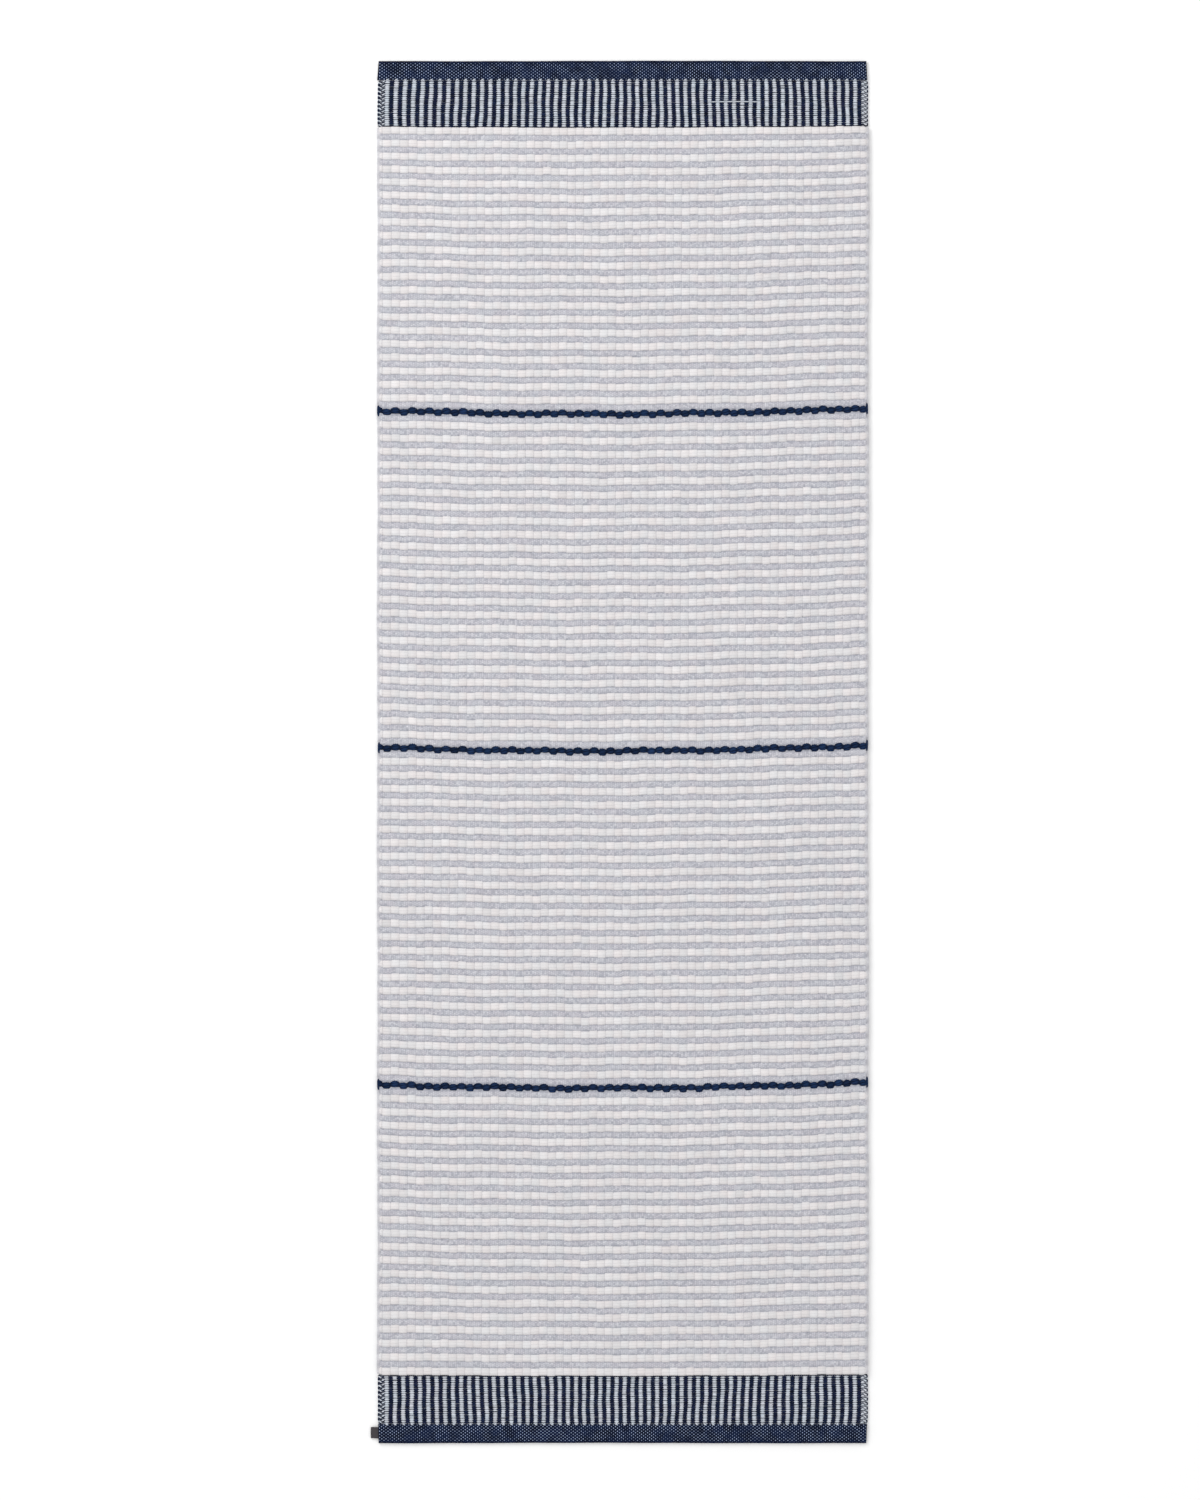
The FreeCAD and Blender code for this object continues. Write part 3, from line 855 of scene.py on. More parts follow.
@dataclass(frozen=True, kw_only=True)
class RibbonFinish(FinishBase):
    """Tightly woven ribbon: fine weft ribs across it and cords along it."""

    ribs: float = 26.0
    cords: float = 44.0

    def pattern(self, graph: Graph, groups: Groups) -> tuple[Socket, Socket]:
        """Darkens the places between the ribs with painted shade, and lowers them.

        Args:
            graph: the material's nodes.
            groups: the shared effects.

        Returns:
            The colour and the height of each place.
        """
        parts = graph.add("SeparateXYZ", Vector=graph.yarn()).outputs
        cord = graph.maths("MULTIPLY_ADD", graph.hills(parts["Y"], self.cords), 0.5, 0.5)
        weave = graph.maths("MULTIPLY", graph.hills(parts["X"], self.ribs), cord)
        fibre = graph.effect(groups.fibre, Place=graph.place(), Fibre_Scale=2200.0, Dye_Scale=220.0)
        # Share of the lighter colour: fibre noise, and painted shade between the ribs and cords.
        shade = graph.maths("MULTIPLY_ADD", fibre["Fibre"], 0.35, graph.maths("MULTIPLY", weave, 0.65))
        return graph.mix(shade, self.dark, self.colour), weave


@dataclass(frozen=True, kw_only=True)
class ThreadFinish(FinishBase):
    """Bare spun thread, for the warp inside the cloth and for sewing."""

    def pattern(self, graph: Graph, groups: Groups) -> tuple[Socket, Socket]:
        """Darkens the places between the thread's plies with painted shade, and lowers them.

        Args:
            graph: the material's nodes.
            groups: the shared effects.

        Returns:
            The colour and the height of each place.
        """
        place = graph.place()
        parts = graph.add("SeparateXYZ", Vector=place).outputs
        slope = graph.maths("MULTIPLY", parts["X"], 1400.0)
        ply = graph.maths("SINE", graph.maths("ADD", graph.maths("MULTIPLY", parts["Y"], 900.0), slope))
        ply = graph.maths("MULTIPLY", graph.maths("ABSOLUTE", ply), 0.6)
        fibre = graph.effect(groups.fibre, Place=place, Fibre_Scale=1800.0)
        # Share of the lighter colour: fibre noise, and painted shade between the plies.
        shade = graph.maths("MULTIPLY_ADD", fibre["Fibre"], 0.4, ply)
        return graph.mix(shade, self.dark, self.colour), shade


WHITE_WOOL = YarnFinish(
    name="White wool", colour=srgb(222, 219, 220), dark=srgb(186, 184, 188), warm=srgb(228, 218, 216),
    cool=srgb(215, 219, 222), twist=0.04, loose=0.08, groove_shade_share=0.3, shade_share=0.3, relief=0.25 * MM,
)
# Its grooves go almost to the dark colour, painted shade, so the strand crests read as lighter strokes, painted
# highlights.
NAVY_WOOL = YarnFinish(
    name="Navy wool", colour=srgb(25, 43, 77), dark=srgb(5, 10, 26), warm=srgb(27, 40, 70), cool=srgb(20, 47, 77),
    strands=9.0, twist=0.45, groove_shade_share=0.98, shade_share=0.6, brightness=1.4, relief=0.6 * MM, sheen=0.02,
    shine=0.04,
)
BORDER_DARK = YarnFinish(
    name="Border dark wool", colour=srgb(20, 30, 58), dark=srgb(8, 12, 28), warm=srgb(29, 27, 53),
    cool=srgb(15, 32, 53), strands=5.0, twist=0.6, brightness=1.2, relief=0.3 * MM, sheen=0.02, shine=0.04,
)
BORDER_LIGHT = YarnFinish(
    name="Border light wool", colour=srgb(204, 210, 218), dark=srgb(120, 126, 146), warm=srgb(210, 207, 213),
    cool=srgb(192, 206, 216), strands=5.0, twist=0.6, groove_shade_share=0.4, brightness=0.6, relief=0.3 * MM, sheen=0.1,
)
SELVEDGE_WOOL = YarnFinish(
    name="Selvedge wool", colour=srgb(214, 212, 215), dark=srgb(164, 164, 172), warm=srgb(220, 214, 214),
    cool=srgb(205, 209, 216), strands=3.0, twist=0.0, loose=0.15, groove_shade_share=0.35, shade_share=0.8,
    relief=0.3 * MM,
)
GREY_WOOL = FineFinish(
    name="Fine grey wool", colour=srgb(196, 197, 204), dark=srgb(150, 152, 163), light=srgb(212, 212, 217),
    warm=srgb(197, 192, 200), roughness=0.9,
)
HEM_CLOTH = HemFinish(
    name="Hem cloth", colour=srgb(16, 30, 62), dark=srgb(6, 12, 32), point=srgb(164, 180, 210),
    roughness=0.85, sheen=0.02, shine=0.04,
)
RIBBON = RibbonFinish(
    name="Label ribbon", colour=srgb(76, 72, 76), dark=srgb(40, 38, 42), relief=0.12 * MM, strength=0.7,
    roughness=0.6, sheen=0.05,
)
# The warp's cotton is given a dark grey-blue far below its own pale colour: painted shade, as it shows only deep in
# the gaps between the picks.
COTTON_IN_PAINTED_SHADE = ThreadFinish(
    name="Cotton warp", colour=srgb(126, 130, 142), dark=srgb(84, 88, 102), relief=0.2 * MM, strength=0.7,
    roughness=0.85, sheen=0.1,
)
SEWING = ThreadFinish(
    name="Sewing thread", colour=srgb(38, 46, 72), dark=srgb(16, 20, 36), relief=0.2 * MM, strength=0.7,
    roughness=0.85, sheen=0.1,
)


# --------------------------------------------------------------------------------------------------
# The woven field
# --------------------------------------------------------------------------------------------------


@dataclass
class BlockWoven(Woven):
    """A part of whose two wefts a band one is on the face and the other on the back, block by block."""

    number: int
    reach: float = 0.0
    fractions: tuple[float, ...] = ()
    pick: Pick | None = None

    def weave_bands(self, name: str, middles: np.ndarray) -> bpy.types.Object:
        """Weaves bands of two wefts, which change places at each block's edge.

        Args:
            name: the piece's name.
            middles: the y of each band.

        Returns:
            The woven piece.
        """
        width, edge = self.warp.pair, self.warp.block_start
        inner = self.warp.stations(edge, width, self.fractions, self.reach)
        x = np.concatenate([[-self.reach - MM, -self.reach], inner, [self.reach, self.reach + MM]])
        blocks = np.clip(np.floor((x - edge + 3 * width) / width + 1e-6), 0, None).astype(int)
        sides = np.tile([1.0, -1.0], len(middles))
        wave = sides[:, None] * self.pick.wave(x, edge, width)
        return self.pick.weave(name, self, np.repeat(middles, 2), sides, x, wave, blocks)


@dataclass
class Field(BlockWoven):
    """One field of the rug: thick white rows with fine grey cloth between and behind them."""

    row_depth: float = 13.4 * MM
    fine_depth: float = 9.4 * MM
    reach: float = 421.0 * MM
    fractions: tuple[float, ...] = (0.0, 0.08, 0.5, 0.92)
    pick_step: float = 3.2 * MM
    rib: float = 0.45 * MM
    under: float = 3.0 * MM
    over_low: float = 8.1 * MM
    over_high: float = 8.9 * MM
    back_high: float = 4.1 * MM
    back_low: float = 2.4 * MM
    pick: Pick = Pick(
        plane=5.0 * MM, rise=1.5 * MM, float_width=13.5 * MM, float_height=6.7 * MM,
        cross_width=13.0 * MM, cross_height=8.2 * MM, float_shift=0.35 * MM, cross_shift=0.2 * MM,
        sharpness=6.0, squareness=0.5, unevenness=0.025, wander=0.22 * MM, brightness=0.05,
    )

    def rows(self, node: str, depth: float) -> np.ndarray:
        """The middles of a weft node's rows, spaced evenly over its box.

        Args:
            node: the frame's node.
            depth: the size of one row along the rug.

        Returns:
            The y of each row, from the foot up.
        """
        low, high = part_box(node)
        pitch = self.row_depth + self.fine_depth + 0.6 * MM
        count = round((high[1] - low[1] - depth) / pitch) + 1
        return np.linspace(low[1] + depth / 2, high[1] - depth / 2, count)

    def weave_rows(self) -> bpy.types.Object:
        """Weaves the thick rows."""
        middles = self.rows(f"field_{self.number}_thick_weft", self.row_depth)
        return self.weave_bands(f"field_{self.number}_thick_rows", middles)

    def weave_ground(self) -> tuple[bpy.types.Object, float]:
        """Weaves the fine cloth, one closed sheet that shows between the thick rows.

        Returns:
            The sheet, and its length along the rug.
        """
        middles = self.rows(f"field_{self.number}_fine_weft", self.fine_depth)
        thick_low, thick_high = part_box(f"field_{self.number}_thick_weft")
        half = self.fine_depth / 2 + 0.3 * MM
        start = min(thick_low[1] + MM, middles[0] - half - self.under)
        stop = max(thick_high[1] - MM, middles[-1] + half + self.under)
        face = np.array([-half, -0.55 * half, 0.55 * half, half])
        up_y = np.concatenate([[start], (middles[:, None] + face).ravel(), [stop]])
        up_crest = np.concatenate([[0.0], np.tile([0.0, 1.0, 1.0, 0.0], len(middles)), [0.0]])
        y = np.concatenate([up_y, [stop], middles[::-1], [start], up_y[:1]])
        crest = np.concatenate([up_crest, [0.0], np.ones(len(middles)), [0.0], up_crest[:1]])
        on_face = np.ones((len(y), 1))
        on_face[len(up_y) : -1] = -1.0
        ends = round(2 * self.reach / self.warp.end_pitch)
        x = self.warp.striped_start + self.warp.end_pitch * np.arange(-6, 2 * ends) / 2
        x = x[np.abs(x) < self.reach - 0.5 * MM]
        x = np.concatenate([[-self.reach], x, [self.reach]])
        warp_end = (x - self.warp.striped_start) / self.warp.end_pitch
        noise = self.rng.standard_normal((1, len(y), len(x)))
        slow = np.cumsum(self.rng.standard_normal((len(y), len(x))), axis=1)
        slow -= np.linspace(0, 1, len(x)) * slow[:, -1:]
        y, crest = y[:, None], crest[:, None]
        wander = 0.045 * MM * np.clip(slow, -9, 9) * (1 - crest)
        wander[[0, len(up_y) - 1, len(up_y), -2, -1]] = 0
        high = np.where(on_face > 0, self.over_high, self.back_low)
        low = np.where(on_face > 0, self.over_low, self.back_high)
        rib = self.rib * (2 * np.abs(np.sin(math.pi * warp_end)) - 1) * (0.35 + 0.65 * crest) * on_face
        z = low + (high - low) * crest + rib + 0.08 * MM * noise
        tint = plain_tint(noise.shape)
        tint[..., 0] = 0.5 + 0.10 * noise
        # Painted shade: darker where the fine cloth dips down beside the thick rows.
        tint[..., 2] = 1 - crest
        name, around = f"field_{self.number}_fine_cloth", y / self.pick_step
        return cloth_piece(name, (x, y + wander, z), warp_end, self.lay, around, tint), stop - start


@dataclass
class AccentLine(BlockWoven):
    """One navy line: two thick wefts that twist past each other, and the turn at each selvedge."""

    reach: float = 421.5 * MM
    fractions: tuple[float, ...] = (0.0, 0.1, 0.3, 0.5, 0.7, 0.9)
    turn_length: float = 21.0 * MM
    turn_width: float = 5.2 * MM
    turn_height: float = 9.2 * MM
    pick: Pick = Pick(
        plane=5.0 * MM, rise=1.9 * MM, float_width=13.6 * MM, float_height=5.8 * MM,
        cross_width=11.4 * MM, cross_height=6.8 * MM, float_shift=1.4 * MM, cross_shift=1.7 * MM,
        sharpness=1.5, segments=28, squareness=0.8, lobes=9, lobe_depth=0.13, unevenness=0.05,
        wander=0.4 * MM,
    )

    @property
    def middle(self) -> float:
        """The y of the line's middle."""
        low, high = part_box(f"accent_line_{self.number}")
        return (low[1] + high[1]) / 2

    def weave(self) -> bpy.types.Object:
        """Weaves the line's two wefts."""
        return self.weave_bands(f"accent_line_{self.number}_twist", np.array([self.middle]))

    def turn(self, side: Side) -> bpy.types.Object:
        """Makes the upright bead where the yarn turns round the outermost warp ends.

        Args:
            side: the selvedge that it is at.

        Returns:
            The bead.
        """
        along = np.linspace(-1, 1, 17)
        sideways, upward = rounded_ring(16, 0.85, lobes=5, depth=0.12)
        girth = np.sqrt(np.clip(1 - np.abs(along) ** 3.2, 0, 1))
        centre = side.value * (self.warp.half_width - self.turn_width / 2)
        x = centre + sideways * self.turn_width / 2 * girth
        y = self.middle + along * self.turn_length / 2
        z = self.pick.plane + upward * self.turn_height / 2 * girth
        return cloth_piece(f"accent_line_{self.number}_turn_{side.name.lower()}", (x, y, z), along, self.lay)


@dataclass
class FieldSelvedge(Woven):
    """The pale edge of the fields, where the white yarn turns and steps from row to row."""

    side: Side
    segments: int = 16
    width: float = 7.5 * MM
    height: float = 7.0 * MM
    plane: float = 5.0 * MM
    ridges: int = 2
    step: float = 3.9 * MM
    rows: int = 92
    row_depth: float = 13.4 * MM
    line_room: float = 10.5 * MM

    def weave(self) -> bpy.types.Object:
        """Makes the edge as one closed, ridged cord along all four fields.

        Returns:
            The selvedge.
        """
        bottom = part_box("field_4_thick_weft")[0][1]
        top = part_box("field_1_thick_weft")[1][1]
        places = round((top - bottom) / self.step) * 2
        y = np.linspace(bottom, top, places)
        angle = TURN * (np.arange(self.segments + 1) / self.segments)[:, None]
        across = np.sign(np.cos(angle)) * np.abs(np.cos(angle)) ** 0.8
        upward = np.sign(np.sin(angle)) * np.abs(np.sin(angle)) ** 0.55
        ridge = 0.5 + 0.5 * np.cos(TURN * self.ridges * (across + 1) / 2 + math.pi)
        bead = np.abs(np.sin(TURN * (y - bottom) / (2 * self.step)))
        row_pitch = (top - bottom - self.row_depth) / self.rows
        white = 0.5 + 0.5 * np.cos(TURN * (y - bottom - self.row_depth / 2) / row_pitch)
        end = np.clip(np.minimum(y - bottom, top - y) / (3 * MM), 0, 1) ** 0.5
        lines = np.array([AccentLine(self.warp, self.lay, self.rng, number).middle for number in (1, 2, 3)])
        to_line = np.abs(y[:, None] - lines).min(axis=1)
        swell = (0.92 + 0.16 * white) * (0.45 + 0.55 * np.clip((to_line - self.line_room) / (4 * MM), 0, 1))
        rough = 1 + 0.02 * self.rng.standard_normal(places)
        centre = self.side.value * (self.warp.half_width - self.width / 2)
        x = centre + across * self.width / 2 * (1 + 0.03 * bead) * end
        lift = self.height / 2 * upward * swell * rough * end
        lift = lift + 0.45 * MM * np.sign(upward) * ridge * (0.5 + 0.5 * bead) * end
        tint = plain_tint((1, *lift.shape))
        tint[..., 0] = 0.5 + 0.10 * np.repeat(self.rng.standard_normal(places // 2 + 1), 2)[:places]
        # Darker at the grey rows, which is the grey yarn's own colour, plus painted shade in the dips between the
        # beads and between the ridges.
        tint[..., 2] = 0.55 * (1 - white) + (0.5 - 0.5 * bead) * 0.35 + 0.2 * (1 - ridge)
        around = (self.ridges * (across + 1) / 2 + 0.5) / 3
        name = f"field_selvedge_{self.side.name.lower()}"
        return cloth_piece(name, (x, y, self.plane + lift), y / MAP_LENGTH, self.lay, around, tint)


# --------------------------------------------------------------------------------------------------
# The striped borders
# --------------------------------------------------------------------------------------------------


@dataclass
class Border(Woven):
    """One striped border: dark and light wefts in turn, each on the face over its own stripes."""

    end: End
    picks: int = 22
    plane: float = 2.55 * MM
    fractions: tuple[float, ...] = (0.0, 0.24, 0.76)
    edge_place: float = 422.0 * MM
    sway: float = 0.5 * MM
    beaten: float = 1.0 * MM
    columns: int = 2
    slant: float = 2.2 * MM
    paler: float = 0.8
    loop_reach: float = 1.1 * MM
    loop_size: float = 3.8 * MM
    dark_pick: Pick = Pick(
        plane=2.55 * MM, rise=1.45 * MM, float_width=3.7 * MM, float_height=2.1 * MM,
        cross_width=1.5 * MM, cross_height=2.1 * MM, sharpness=2.0, longer=0.4, segments=6, squareness=0.75,
        unevenness=0.07, wander=0.16 * MM, brightness=0.16, warmth=0.9,
    )
    light_pick: Pick = Pick(
        plane=2.55 * MM, rise=1.45 * MM, float_width=3.4 * MM, float_height=2.1 * MM,
        cross_width=1.2 * MM, cross_height=2.1 * MM, sharpness=1.8, longer=0.34, segments=6, squareness=0.75,
        unevenness=0.09, wander=0.2 * MM, brightness=0.12, warmth=0.9,
    )

    @property
    def span(self) -> tuple[float, float]:
        """Where the border starts, at the field, and where it ends, under the hem's edge.

        Returns:
            The two distances from the middle of the rug.
        """
        field_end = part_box("field_1_thick_weft")[1][1]
        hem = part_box("head_hem_cloth")[0][1]
        return field_end + self.beaten, hem + self.beaten

    def row_places(self, shade: Shade) -> np.ndarray:
        """The y of each weft of one colour, from the field outwards.

        Args:
            shade: the colour.

        Returns:
            The places, in order.
        """
        start, stop = self.span
        step = (stop - start) / self.picks
        offset = 0.5 if shade is Shade.DARK else 1.0
        rows = start + step * (np.arange(self.picks) + offset) - step / 4
        return self.end.value * rows

    def weave(self, shade: Shade) -> bpy.types.Object:
        """Weaves all the wefts of one colour.

        Args:
            shade: the colour.

        Returns:
            The woven piece.
        """
        half = self.warp.pair / 2
        start = self.warp.striped_start
        pick = self.dark_pick if shade is Shade.DARK else self.light_pick
        rows = self.row_places(shade)
        inner = self.warp.stations(start, half, self.fractions, -start + MM)
        margin = np.linspace(-start, self.edge_place, 4 * self.columns + 1)[1:]
        x = np.concatenate([-margin[::-1], inner, margin])
        blocks = np.clip(np.floor((x - start + 4 * half) / half + 1e-6), 0, None).astype(int)
        own = 1.0 if shade is Shade.DARK else -1.0
        stripes = pick.wave(x, start if shade is Shade.LIGHT else start + half, half)
        wave = np.repeat(stripes[None, :], len(rows), axis=0)
        parity = np.where(np.arange(len(rows)) % 2, -1.0, 1.0)
        for side in Side:
            outside = side.value * x > -start + 0.2 * MM
            place = (side.value * x[outside] + start) / (self.edge_place + start) * self.columns
            over = np.clip(1.4 * np.sin(math.pi * place), -1, 1)
            paler = 0.0 if side is Side.LEFT else self.paler
            wave[:, outside] = np.clip(own * parity[:, None] * over[None, :] - own * paler, -1, 1)
        x = np.concatenate([[x[0] - 2 * MM, x[0] - MM], x, [x[-1] + MM, x[-1] + 2 * MM]])
        wave = np.pad(wave, ((0, 0), (2, 2)))
        name = f"{self.end.prefix}_border_{shade.value}_wefts"
        piece = pick.weave(name, self, rows, np.ones(len(rows)), x, wave, np.pad(blocks, 2, mode="edge"))
        self.sway_wefts(piece)
        return piece

    def sway_wefts(self, piece: bpy.types.Object) -> None:
        """Lets the stripes wander a little, and slants the wefts between them and each edge.

        Args:
            piece: the woven wefts, whose mesh is changed.
        """
        mesh = piece.data
        points = np.empty(len(mesh.vertices) * 3, np.float32)
        mesh.vertices.foreach_get("co", points)
        points = points.reshape(-1, 3)
        x, y = points[:, 0].copy(), points[:, 1].copy()
        start, stop = self.span
        along = (np.abs(y) - start) / (stop - start) - 0.5
        inside = np.clip((self.warp.half_width - np.abs(x)) / 0.03, 0, 1)
        bend = np.sin(5.5 * along + 23 * x + self.end.value) + 0.5 * np.sin(13 * along + 61 * x)
        points[:, 0] += self.sway * inside * bend
        place = (np.abs(points[:, 0]) + self.warp.striped_start) / (self.edge_place + self.warp.striped_start)
        points[:, 1] += self.slant * np.sin(math.pi * np.clip(place, 0, 1)) * np.sign(points[:, 0])
        mesh.vertices.foreach_set("co", points.ravel())
        mesh.update()

    def turn(self, shade: Shade) -> bpy.types.Object:
        """Makes the loops where each weft turns at a selvedge and comes back in its next row.

        Args:
            shade: the colour.

        Returns:
            All the loops of that colour at this end, as one piece.
        """
        rows = self.row_places(shade)
        starts = {Side.LEFT: 1, Side.RIGHT: 0}
        loops = [(side.value, rows[k], rows[k + 1]) for side in Side for k in range(starts[side], len(rows) - 1, 2)]
        way, first, second = np.array(loops).T[:, :, None, None]
        bend = np.linspace(-math.pi / 2, math.pi / 2, 9)
        sideways, upward = rounded_ring(8, 0.9)
        size = self.loop_size / 2 * closed_ends(len(bend))
        radius = self.loop_reach * (1 + 0.08 * self.rng.standard_normal(way.shape))
        middle, half = (first + second) / 2, (second - first) / 2
        rise = 0.5 * MM * np.cos(bend) * (1 if shade is Shade.DARK else -1)
        x = way * (self.edge_place - 0.6 * MM + np.cos(bend) * (radius + sideways * size))
        y = middle + np.sin(bend) * (half + np.sign(half) * sideways * size)
        z = self.plane + rise + upward * size
        name = f"{self.end.prefix}_border_{shade.value}_turns"
        return cloth_piece(name, (x, y, z), np.linspace(0, 1, len(bend)), self.lay)

    def crests(self) -> bpy.types.Object:
        """Makes the last floats of the light weft, which ride up on the hem's edge.

        Returns:
            All the floats, as one piece.
        """
        middles = self.warp.striped_start + self.warp.pair * (np.arange(self.warp.pairs) + 0.25)
        along = np.linspace(-1, 1, 7)
        sideways, upward = rounded_ring(8, 0.85)
        girth = np.array([0.0, 0.72, 0.95, 1.0, 0.95, 0.72, 0.0])
        size = 1.1 * MM * (1 + 0.14 * self.rng.standard_normal((len(middles), 1, 1)))
        x = middles[:, None, None] + 2.9 * MM * along
        y = self.end.value * (self.span[1] + 0.5 * MM) + sideways * size * girth
        z = 6.0 * MM + 0.8 * MM * girth * upward - 0.9 * MM * along**2
        return cloth_piece(f"{self.end.prefix}_border_light_crests", (x, y, z), along, self.lay)

    def stray_float(self) -> bpy.types.Object:
        """Makes the one light weft that lies loose over a few stripes of the head border.

        Returns:
            The loose weft.
        """
        x = np.linspace(0.143, 0.237, 15)
        sideways, upward = rounded_ring(8, 0.9)
        girth = closed_ends(len(x))
        bow = 0.5 * MM * np.sin(np.linspace(0, math.pi, len(x)))
        y = self.row_places(Shade.LIGHT)[self.picks // 2] + bow + sideways * 0.85 * MM * girth
        z = 4.9 * MM + bow + upward * 0.7 * MM * girth
        return cloth_piece("head_border_loose_weft", (x, y, z), x / MAP_LENGTH, self.lay)


# --------------------------------------------------------------------------------------------------
# The hems
# --------------------------------------------------------------------------------------------------


@dataclass
class Hem(Woven):
    """One turned hem: navy plain weave folded under, with its stitches."""

    end: End
    leaf: float = 2.6 * MM
    pick_step: float = 2.66 * MM
    nub: float = 0.28 * MM
    lip: float = -1.0 * MM
    fold_steps: int = 9
    thread: float = 0.5 * MM
    stitch_reach: float = 5.5 * MM

    def __post_init__(self) -> None:
        """Reads the hem's place from the frame."""
        low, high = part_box(f"{self.end.prefix}_hem_cloth")
        self.half_width = (high[0] - low[0]) / 2
        self.height = high[2] - low[2]
        self.inner = min(abs(low[1]), abs(high[1]))
        self.outer = max(abs(low[1]), abs(high[1]))

    def path(self, depth_in: float, steps: int) -> Pair:
        """The folded path of one face of the cloth, from the upper leaf's edge round the fold.

        Args:
            depth_in: how far inside the outer face it runs.
            steps: how many places each leaf has.

        Returns:
            The y and z of each place.
        """
        radius = self.height / 2 - depth_in
        centre = self.outer - self.height / 2
        flat = np.linspace(self.inner - self.lip, centre, steps)
        bend = np.linspace(math.pi / 2, -math.pi / 2, self.fold_steps)[1:-1]
        y = np.concatenate([flat, centre + radius * np.cos(bend), flat[::-1]])
        z = np.concatenate([np.full(steps, radius), radius * np.sin(bend), np.full(steps, -radius)])
        return y, z + self.height / 2

    def fold(self) -> tuple[bpy.types.Object, float]:
        """Weaves and folds the hem.

        Returns:
            The closed sheet, and the length of the cloth in it along the warp.
        """
        steps = 2 * round((self.outer - self.height / 2 - self.inner + self.lip) / self.pick_step) + 1
        out_y, out_z = self.path(0.0, steps)
        in_y, in_z = self.path(self.leaf, 4)
        y = np.concatenate([out_y, in_y[::-1], out_y[:1]])[:, None]
        z = np.concatenate([out_z, in_z[::-1], out_z[:1]])[:, None]
        run = np.concatenate([[0], np.cumsum(np.hypot(np.diff(out_y), np.diff(out_z)))])
        along = np.concatenate([run, np.interp(in_y[::-1], out_y[:steps], run[:steps]), run[:1]])[:, None]
        picks = along / self.pick_step
        outside = np.concatenate([np.ones(len(out_y)), np.zeros(len(in_y)), [1.0]])[:, None]
        pitch = self.warp.end_pitch
        x = self.warp.striped_start + pitch * np.arange(-8, 2 * self.warp.ends_per_pair * self.warp.pairs + 9) / 2
        x = x[np.abs(x) < self.half_width - 0.8 * MM]
        x = np.concatenate([[-self.half_width], x, [self.half_width]])
        ends = (x - self.warp.striped_start) / pitch
        over = np.where((np.floor(ends) + np.floor(picks)) % 2 == 1, 1.0, 0.25)
        rib, dash = np.abs(np.sin(math.pi * ends)), np.abs(np.sin(math.pi * picks))
        bump = self.nub * rib * (0.35 + 0.65 * dash) * over * outside
        middle_y, middle_z = self.outer - self.height / 2, self.height / 2
        folded = y > middle_y
        normal_y = np.where(folded, (y - middle_y) / (self.height / 2), 0.0)
        normal_z = np.where(folded, (z - middle_z) / (self.height / 2), np.sign(z - middle_z))
        squash = np.ones(len(x))
        squash[[0, -1]] = 0.55 + 0.45 * 0.35
        lift = np.sin(9.0 * x + self.end.value) * 0.35 * MM + 0.15 * MM * np.sin(47 * x)
        place_x = np.broadcast_to(x, bump.shape).copy()
        if self.end is End.HEAD:
            tail = np.clip((self.outer - y) / (self.outer - self.inner), 0, 1)
            low_corner = (z < middle_z - 0.2 * MM) & (x < -self.half_width + MM)
            place_x -= np.where(low_corner, 2.2 * MM * tail, 0.0)
        place_y = self.end.value * (y + normal_y * bump + lift * folded)
        place_z = middle_z + (z - middle_z) * squash + normal_z * bump
        near_fold = np.clip((run[steps - 1] - along + 1.0 * MM) / (4 * MM), 0, 1)
        tint = plain_tint((1, *bump.shape))
        tint[..., 0] = 0.62 * np.where(along > run[steps - 1] + 8 * MM, 0.8, near_fold) * outside
        # Painted shade on the inner leaf, inside the fold; the hem's finish does not read it.
        tint[..., 2] = 1 - outside
        places = (place_x, place_y, place_z)
        return cloth_piece(f"{self.end.prefix}_hem", places, ends, self.lay, picks, tint), float(run[-1])

    def stitches(self) -> bpy.types.Object:
        """Sews the slip stitches that hold the turned leaf to the border, on the back.

        Returns:
            All the stitches, as one piece.
        """
        count = self.warp.pairs
        step = np.linspace(0, 1, 9)
        sideways, upward = rounded_ring(6, 1.0)
        girth = self.thread / 2 * closed_ends(len(step))
        slant = 1.6 * MM * (1 + 0.2 * self.rng.standard_normal((count, 1, 1)))
        first = self.warp.striped_start + self.warp.pair / 4
        x = first + self.warp.pair * np.arange(count) + 0.3 * MM * self.rng.standard_normal(count)
        x = x[:, None, None] + slant * (step - 0.5) + sideways * girth
        y = self.end.value * (self.inner + self.stitch_reach * (step - 0.5))
        z = 0.35 * MM + 1.1 * MM * (2 * step - 1) ** 2 + upward * girth
        return cloth_piece(f"{self.end.prefix}_hem_slip_stitches", (x, y, z), step, None)

    def side_stitches(self) -> bpy.types.Object:
        """Sews the whip stitches that close the two open ends of the fold.

        Returns:
            The stitches of both ends, as one piece.
        """
        low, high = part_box(f"{self.end.prefix}_hem_side_stitches")
        rows = np.array([low[1], high[1]]) + np.array([1, -1]) * self.thread / 2
        side, row = np.array([(side.value, row) for side in Side for row in rows]).T[:, :, None, None]
        bend = np.linspace(-0.62 * math.pi, 0.62 * math.pi, 19)
        sideways, upward = rounded_ring(6, 1.0)
        girth = self.thread / 2 * closed_ends(len(bend))
        ring = self.height / 2 + 0.15 * MM + sideways * girth
        x = side * (self.half_width - 2.2 * MM + np.cos(bend) * 0.85 * ring)
        y = row + 0.8 * MM * np.sin(bend) + upward * girth
        z = np.clip(self.height / 2 + np.sin(bend) * ring, 0.02 * MM, None)
        return cloth_piece(f"{self.end.prefix}_hem_end_stitches", (x, y, z), np.linspace(0, 1, len(bend)), None)


